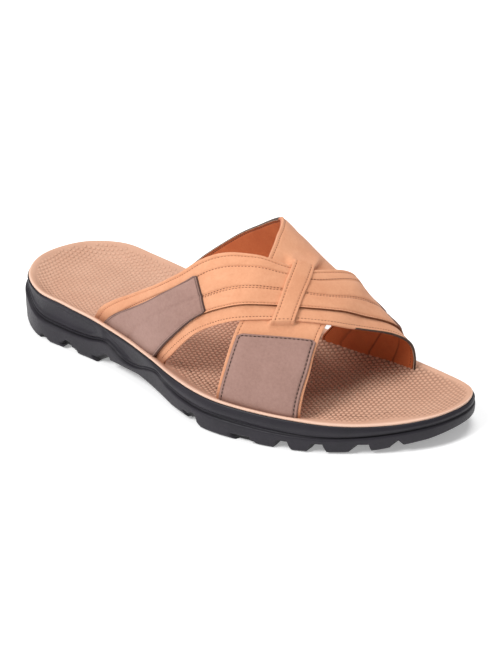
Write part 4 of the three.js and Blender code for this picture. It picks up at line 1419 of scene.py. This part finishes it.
def patch(spec):
    """A patch from its foot up to its top edge."""
    a = across_grid[None, :]
    reach = patch_reach(spec, a)
    up = 1 - (1 - np.linspace(0, 1, PATCH_RISE_ROWS)[:, None]) ** 1.25
    up = up * reach
    s, over, width = patch_place(spec, a, up)
    edge = np.minimum(np.minimum(a, 1 - a) * PATCH_MM, reach - up)
    roll = np.sqrt(np.maximum(1 - np.clip(1 - edge / 0.55, 0, 1) ** 2, 0))
    groove = bump_at(edge, spec["line"], spec["line_width"])
    base = spec["face"](s, over, width)
    face = base + 0.1 + (PATCH_THICKNESS + 0.1) * roll - 0.3 * groove + 0.25 * ease(edge, 1.5, 6)
    sinks = (SINK - 0.4, 2.5)
    outer = [sheet_point(s[:1], over[:1], face[:1], sink) for sink in sinks] + [sheet_point(s, over, face)]
    inner = [sheet_point(s[:1], over[:1], base[:1] - 0.5, sink) for sink in sinks]
    inner.append(sheet_point(s, over, base - 0.5))
    outer, inner = np.vstack(outer), np.vstack(inner)
    rows, count = outer.shape[:2]
    ids = np.arange(rows * count).reshape(rows, count)
    faces = grid_faces(rows, count).tolist()
    faces += [[corner + rows * count for corner in face[::-1]] for face in grid_faces(rows, count).tolist()]
    rim = np.concatenate([ids[0, :-1], ids[:-1, -1], ids[-1, :0:-1], ids[:0:-1, 0]])
    for here, after in zip(rim, np.roll(rim, -1)):
        faces.append([after, here, here + rows * count, after + rows * count])
    below = np.zeros((len(sinks), count))
    # Painted shade: darker at the patch's raised edge and along its channel.
    dark = spec["edge_shade"] * (1 - ease(edge, 0.3, 0.75)) + spec["line_shade"] * groove
    # foot is painted shade at the patch's foot, on its sunk rows and on its underside.
    marks = {"seam_and_edge_shade": np.vstack([below, dark]), "foot": np.vstack([below + 1, bump_at(up, 0, 3.5)])}
    marks = {name: np.concatenate([mark.ravel(), np.ones(rows * count)]) for name, mark in marks.items()}
    points = np.vstack([outer.reshape(-1, 3), inner.reshape(-1, 3)])
    piece = make_mesh(spec["node"] + "_piece", points, faces, [brown_nubuck], marks=marks)
    return finish_piece(piece, "patch_nubuck", spec["node"])


# %% The four patches
# how far up in shares of the way over, rear edge and front edge of the outer rear patch, as width shares
REAR_PATCH = [
    (0, 0.13, 0.885), (0.05, 0.18, 0.88), (0.1, 0.226, 0.87), (0.14, 0.232, 0.85), (0.19, 0.206, 0.8),
    (0.25, 0.183, 0.765), (0.304, 0.162, 0.75),
]
LATERAL_MM, MEDIAL_MM = 200.0, 290.0
over_patch = {"rear": over_rear, "front": over_front, "face": panel_face}
under_patch = {"rear": under_rear, "front": under_front, "face": under_outer}
# Each finish: line inset, its half width, how much painted shade falls in the channel and at the edge.
double_line = {"line": 1.35, "line_width": 0.3, "line_shade": 0.9, "edge_shade": 1.0}
sewn_edge = {"line": 1.7, "line_width": 0.4, "line_shade": 0.35, "edge_shade": 0.45}
lateral_rear_patch = {
    "node": "lateral_rear_patch", "foot": 0, "top": 0.326, "slope": -0.13, "mm": LATERAL_MM,
    "low": smooth(REAR_PATCH, 1), "high": smooth(REAR_PATCH, 2), **over_patch, **double_line,
}
lateral_front_patch = {
    "node": "lateral_front_patch", "foot": 0, "top": 0.23, "slope": 0.16, "mm": LATERAL_MM,
    "low": share(0.04), "high": share(0.975), **under_patch, **sewn_edge,
}
medial_front_patch = {
    "node": "medial_front_patch", "foot": 1, "top": 0.175, "slope": 0.0, "mm": MEDIAL_MM,
    "low": share(0.1), "high": share(0.77), **over_patch, **sewn_edge,
}
medial_rear_patch = {
    "node": "medial_rear_patch", "foot": 1, "top": 0.167, "slope": 0.0, "mm": MEDIAL_MM,
    "low": share(0.06), "high": share(0.94), **under_patch, **sewn_edge,
}
for spec in (lateral_rear_patch, lateral_front_patch, medial_front_patch, medial_rear_patch):
    patch(spec)

# %% [markdown]
# Stitches. Every row is a line of points on a strap with the leather's outward direction stored on them.
# The second tree spaces points along those lines and lays a small thread on each, turned along the row.


# %% Rows of stitches
def row_on(rear, front, face, overs, widths):
    """Points and outward directions along a row on a strap."""
    overs, widths = np.broadcast_arrays(np.asarray(overs, float), np.asarray(widths, float))
    s = rear(overs) + (front(overs) - rear(overs)) * widths
    return sheet_point(s, overs, face(s, overs, widths)), arch_normal(s, overs)


def stitch_piece(name, rows, thread_material, slot, pitch, size):
    """One mesh of stitches on all the rows given."""
    points = np.vstack([row[0] for row in rows])
    outs = np.vstack([row[1] for row in rows])
    edges, start = [], 0
    for row, _ in rows:
        edges += [(start + k, start + k + 1) for k in range(len(row) - 1)]
        start += len(row)
    values = {"Pitch": pitch * MM, "Size": [value * MM for value in size], "Finish": thread_material}
    made = grow(name, points, edges, [], {"out": outs}, stitch_tree, stitch_names, values)
    return finish_piece(made, slot)


# %% Stitches on the over strap
STITCH_PITCH = 1.85
STITCH_SIZE = (1.3, 0.48, 0.36)
ROW_POINTS = 160
row_overs = np.linspace(0.012, 0.988, ROW_POINTS)
second_row = smooth([(0, 0.21), (0.31, 0.195), (0.4, 0.21), (0.48, 0.217), (0.65, 0.18), (1, 0.18)], 1)
double_row = smooth([(0, 0.53), (0.26, 0.522), (0.35, 0.51), (0.46, 0.498), (0.6, 0.512), (1, 0.512)], 1)
over_rows = [
    (share(REAR_ROW), panel_face), (second_row, panel_face), (last_row, panel_face), (share(FRONT_ROW), band_outer),
    (lambda over: double_row(over) - DOUBLE_GAP, panel_face), (lambda over: double_row(over) + DOUBLE_GAP, panel_face),
]
stitch_piece(
    "over_strap_stitches",
    [row_on(over_rear, over_front, face, row_overs, row(row_overs)) for row, face in over_rows],
    tan_thread, "strap_nubuck", STITCH_PITCH, STITCH_SIZE,
)

# %% Stitches on the under strap and the bridge
thread_rows = [row_on(under_rear, under_front, under_outer, row_overs, row) for row in UNDER_ROWS]
bridge_edges = (bridge_edge("rear"), bridge_edge("front"))
for row in BRIDGE_ROWS:
    along = np.linspace(BRIDGE_FOOT["over"], BRIDGE_HEAD["over"], 60) + BRIDGE_SLANT * row
    thread_rows.append(row_on(*bridge_edges, bridge_outer, along, row))
cross = np.linspace(BRIDGE_ROWS[0], BRIDGE_ROWS[1], 24)
thread_rows.append(row_on(*bridge_edges, bridge_outer, BRIDGE_FOOT["over"] + BRIDGE_SLANT * cross, cross))
stitch_piece("under_strap_stitches", thread_rows, tan_thread, "strap_nubuck", STITCH_PITCH, STITCH_SIZE)

# %% Dark stitches on the patches, and on the lining along the cut edges
DARK_PITCH = 2.3
DARK_SIZE = (1.75, 0.5, 0.4)
ROW_INSET = 1.7


def patch_row(spec):
    """A row up one side of a patch, along its top edge and down its other side."""
    side = ROW_INSET / PATCH_MM
    climb = np.linspace(0.5, float(patch_reach(spec, side)) - ROW_INSET, 60)
    top = np.linspace(side, 1 - side, 80)
    fall = np.linspace(float(patch_reach(spec, 1 - side)) - ROW_INSET, 0.5, 60)
    across = np.concatenate([0 * climb + side, top[1:-1], 0 * fall + 1 - side])
    up = np.concatenate([climb, patch_reach(spec, top)[1:-1] - ROW_INSET, fall])
    s, over, width = patch_place(spec, across, up)
    return sheet_point(s, over, spec["face"](s, over, width) + PATCH_THICKNESS + 0.15), arch_normal(s, over)


sewn_patches = (lateral_front_patch, medial_front_patch, medial_rear_patch)
stitch_piece(
    "patch_stitches", [patch_row(spec) for spec in sewn_patches], dark_thread, "patch_nubuck", DARK_PITCH, DARK_SIZE
)
lining_overs = np.linspace(0.8, 0.985, ROW_POINTS)
lining_rows = [
    row_on(under_rear, under_front, under_inner, lining_overs, 0.05),
    row_on(over_rear, over_front, band_inner, lining_overs, 0.945),
]
lining_rows = [(points, -out) for points, out in lining_rows]
stitch_piece("lining_stitches", lining_rows, dark_thread, "strap_nubuck", STITCH_PITCH, STITCH_SIZE)

# %% [markdown]
# Camera, light and floor. The camera stands where the photograph was taken from, to the front and the
# outer side, a little above. One broad light from above and soft light all round leave no hard shadow.

# %% Camera
CAMERA_AZIMUTH, CAMERA_ELEVATION = math.radians(36.0), math.radians(28.5)
CAMERA_TARGET = Vector((15.23, 2.85, 30.0)) * MM
CAMERA_DISTANCE = 1.3
SENSOR = 36.0
IMAGE_WIDTH, IMAGE_HEIGHT = 500, 669
FOCAL_PIXELS = 2338.35
camera_data = bpy.data.cameras.new("camera")
camera_data.sensor_width = SENSOR
camera_data.sensor_fit = "AUTO"
camera_data.lens = SENSOR * FOCAL_PIXELS / IMAGE_HEIGHT
camera_data.clip_start, camera_data.clip_end = 0.05, 20
camera = bpy.data.objects.new("camera", camera_data)
bpy.context.scene.collection.objects.link(camera)
back = Vector(
    (
        math.sin(CAMERA_AZIMUTH) * math.cos(CAMERA_ELEVATION),
        -math.cos(CAMERA_AZIMUTH) * math.cos(CAMERA_ELEVATION),
        math.sin(CAMERA_ELEVATION),
    )
)
camera.location = CAMERA_TARGET + back * CAMERA_DISTANCE
camera.rotation_mode = "QUATERNION"
camera.rotation_quaternion = (-back).to_track_quat("-Z", "Y")
bpy.context.scene.camera = camera
print("lens:", round(camera_data.lens, 2), "mm")

# %% Floor and light
floor_mesh = bpy.data.meshes.new("floor")
REACH = 6.0
floor_mesh.from_pydata([(-REACH, -REACH, 0), (REACH, -REACH, 0), (REACH, REACH, 0), (-REACH, REACH, 0)], [], [(0, 1, 2, 3)])
floor = bpy.data.objects.new("floor", floor_mesh)
bpy.context.scene.collection.objects.link(floor)
floor_material = bpy.data.materials.new("white_floor")
floor_material.use_nodes = True
floor_shader = floor_material.node_tree.nodes["Principled BSDF"]
floor_shader.inputs["Base Color"].default_value = (0.93, 0.93, 0.93, 1)
floor_shader.inputs["Roughness"].default_value = 0.9
floor_shader.inputs["Specular IOR Level"].default_value = 0.1
floor_shader.inputs["Emission Color"].default_value = (1, 1, 1, 1)
floor_shader.inputs["Emission Strength"].default_value = 0.3
floor_mesh.materials.append(floor_material)
floor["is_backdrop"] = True


def area_light(name, place, size, power, aim=(0.0, 0.0, 0.03)):
    light = bpy.data.lights.new(name, "AREA")
    light.shape = "DISK"
    light.size = size
    light.energy = power
    holder = bpy.data.objects.new(name, light)
    bpy.context.scene.collection.objects.link(holder)
    holder.location = place
    holder.rotation_mode = "QUATERNION"
    holder.rotation_quaternion = (Vector(aim) - Vector(place)).to_track_quat("-Z", "Y")
    return holder


area_light("key", (-0.45, -1.35, 1.6), 0.9, 35.0)
area_light("top", (0.1, 0.4, 2.2), 1.4, 26.0)
world = bpy.data.worlds.new("studio")
bpy.context.scene.world = world
world.use_nodes = True
world.node_tree.nodes["Background"].inputs["Color"].default_value = (1, 1, 1, 1)
world.node_tree.nodes["Background"].inputs["Strength"].default_value = 0.32
bpy.context.scene.view_settings.view_transform = "Standard"

# %% The two boxes, and the end
low, high = solids_box
new_low, new_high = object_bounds()
{"solids": [list(low), list(high)], "looks": [list(new_low), list(new_high)]}
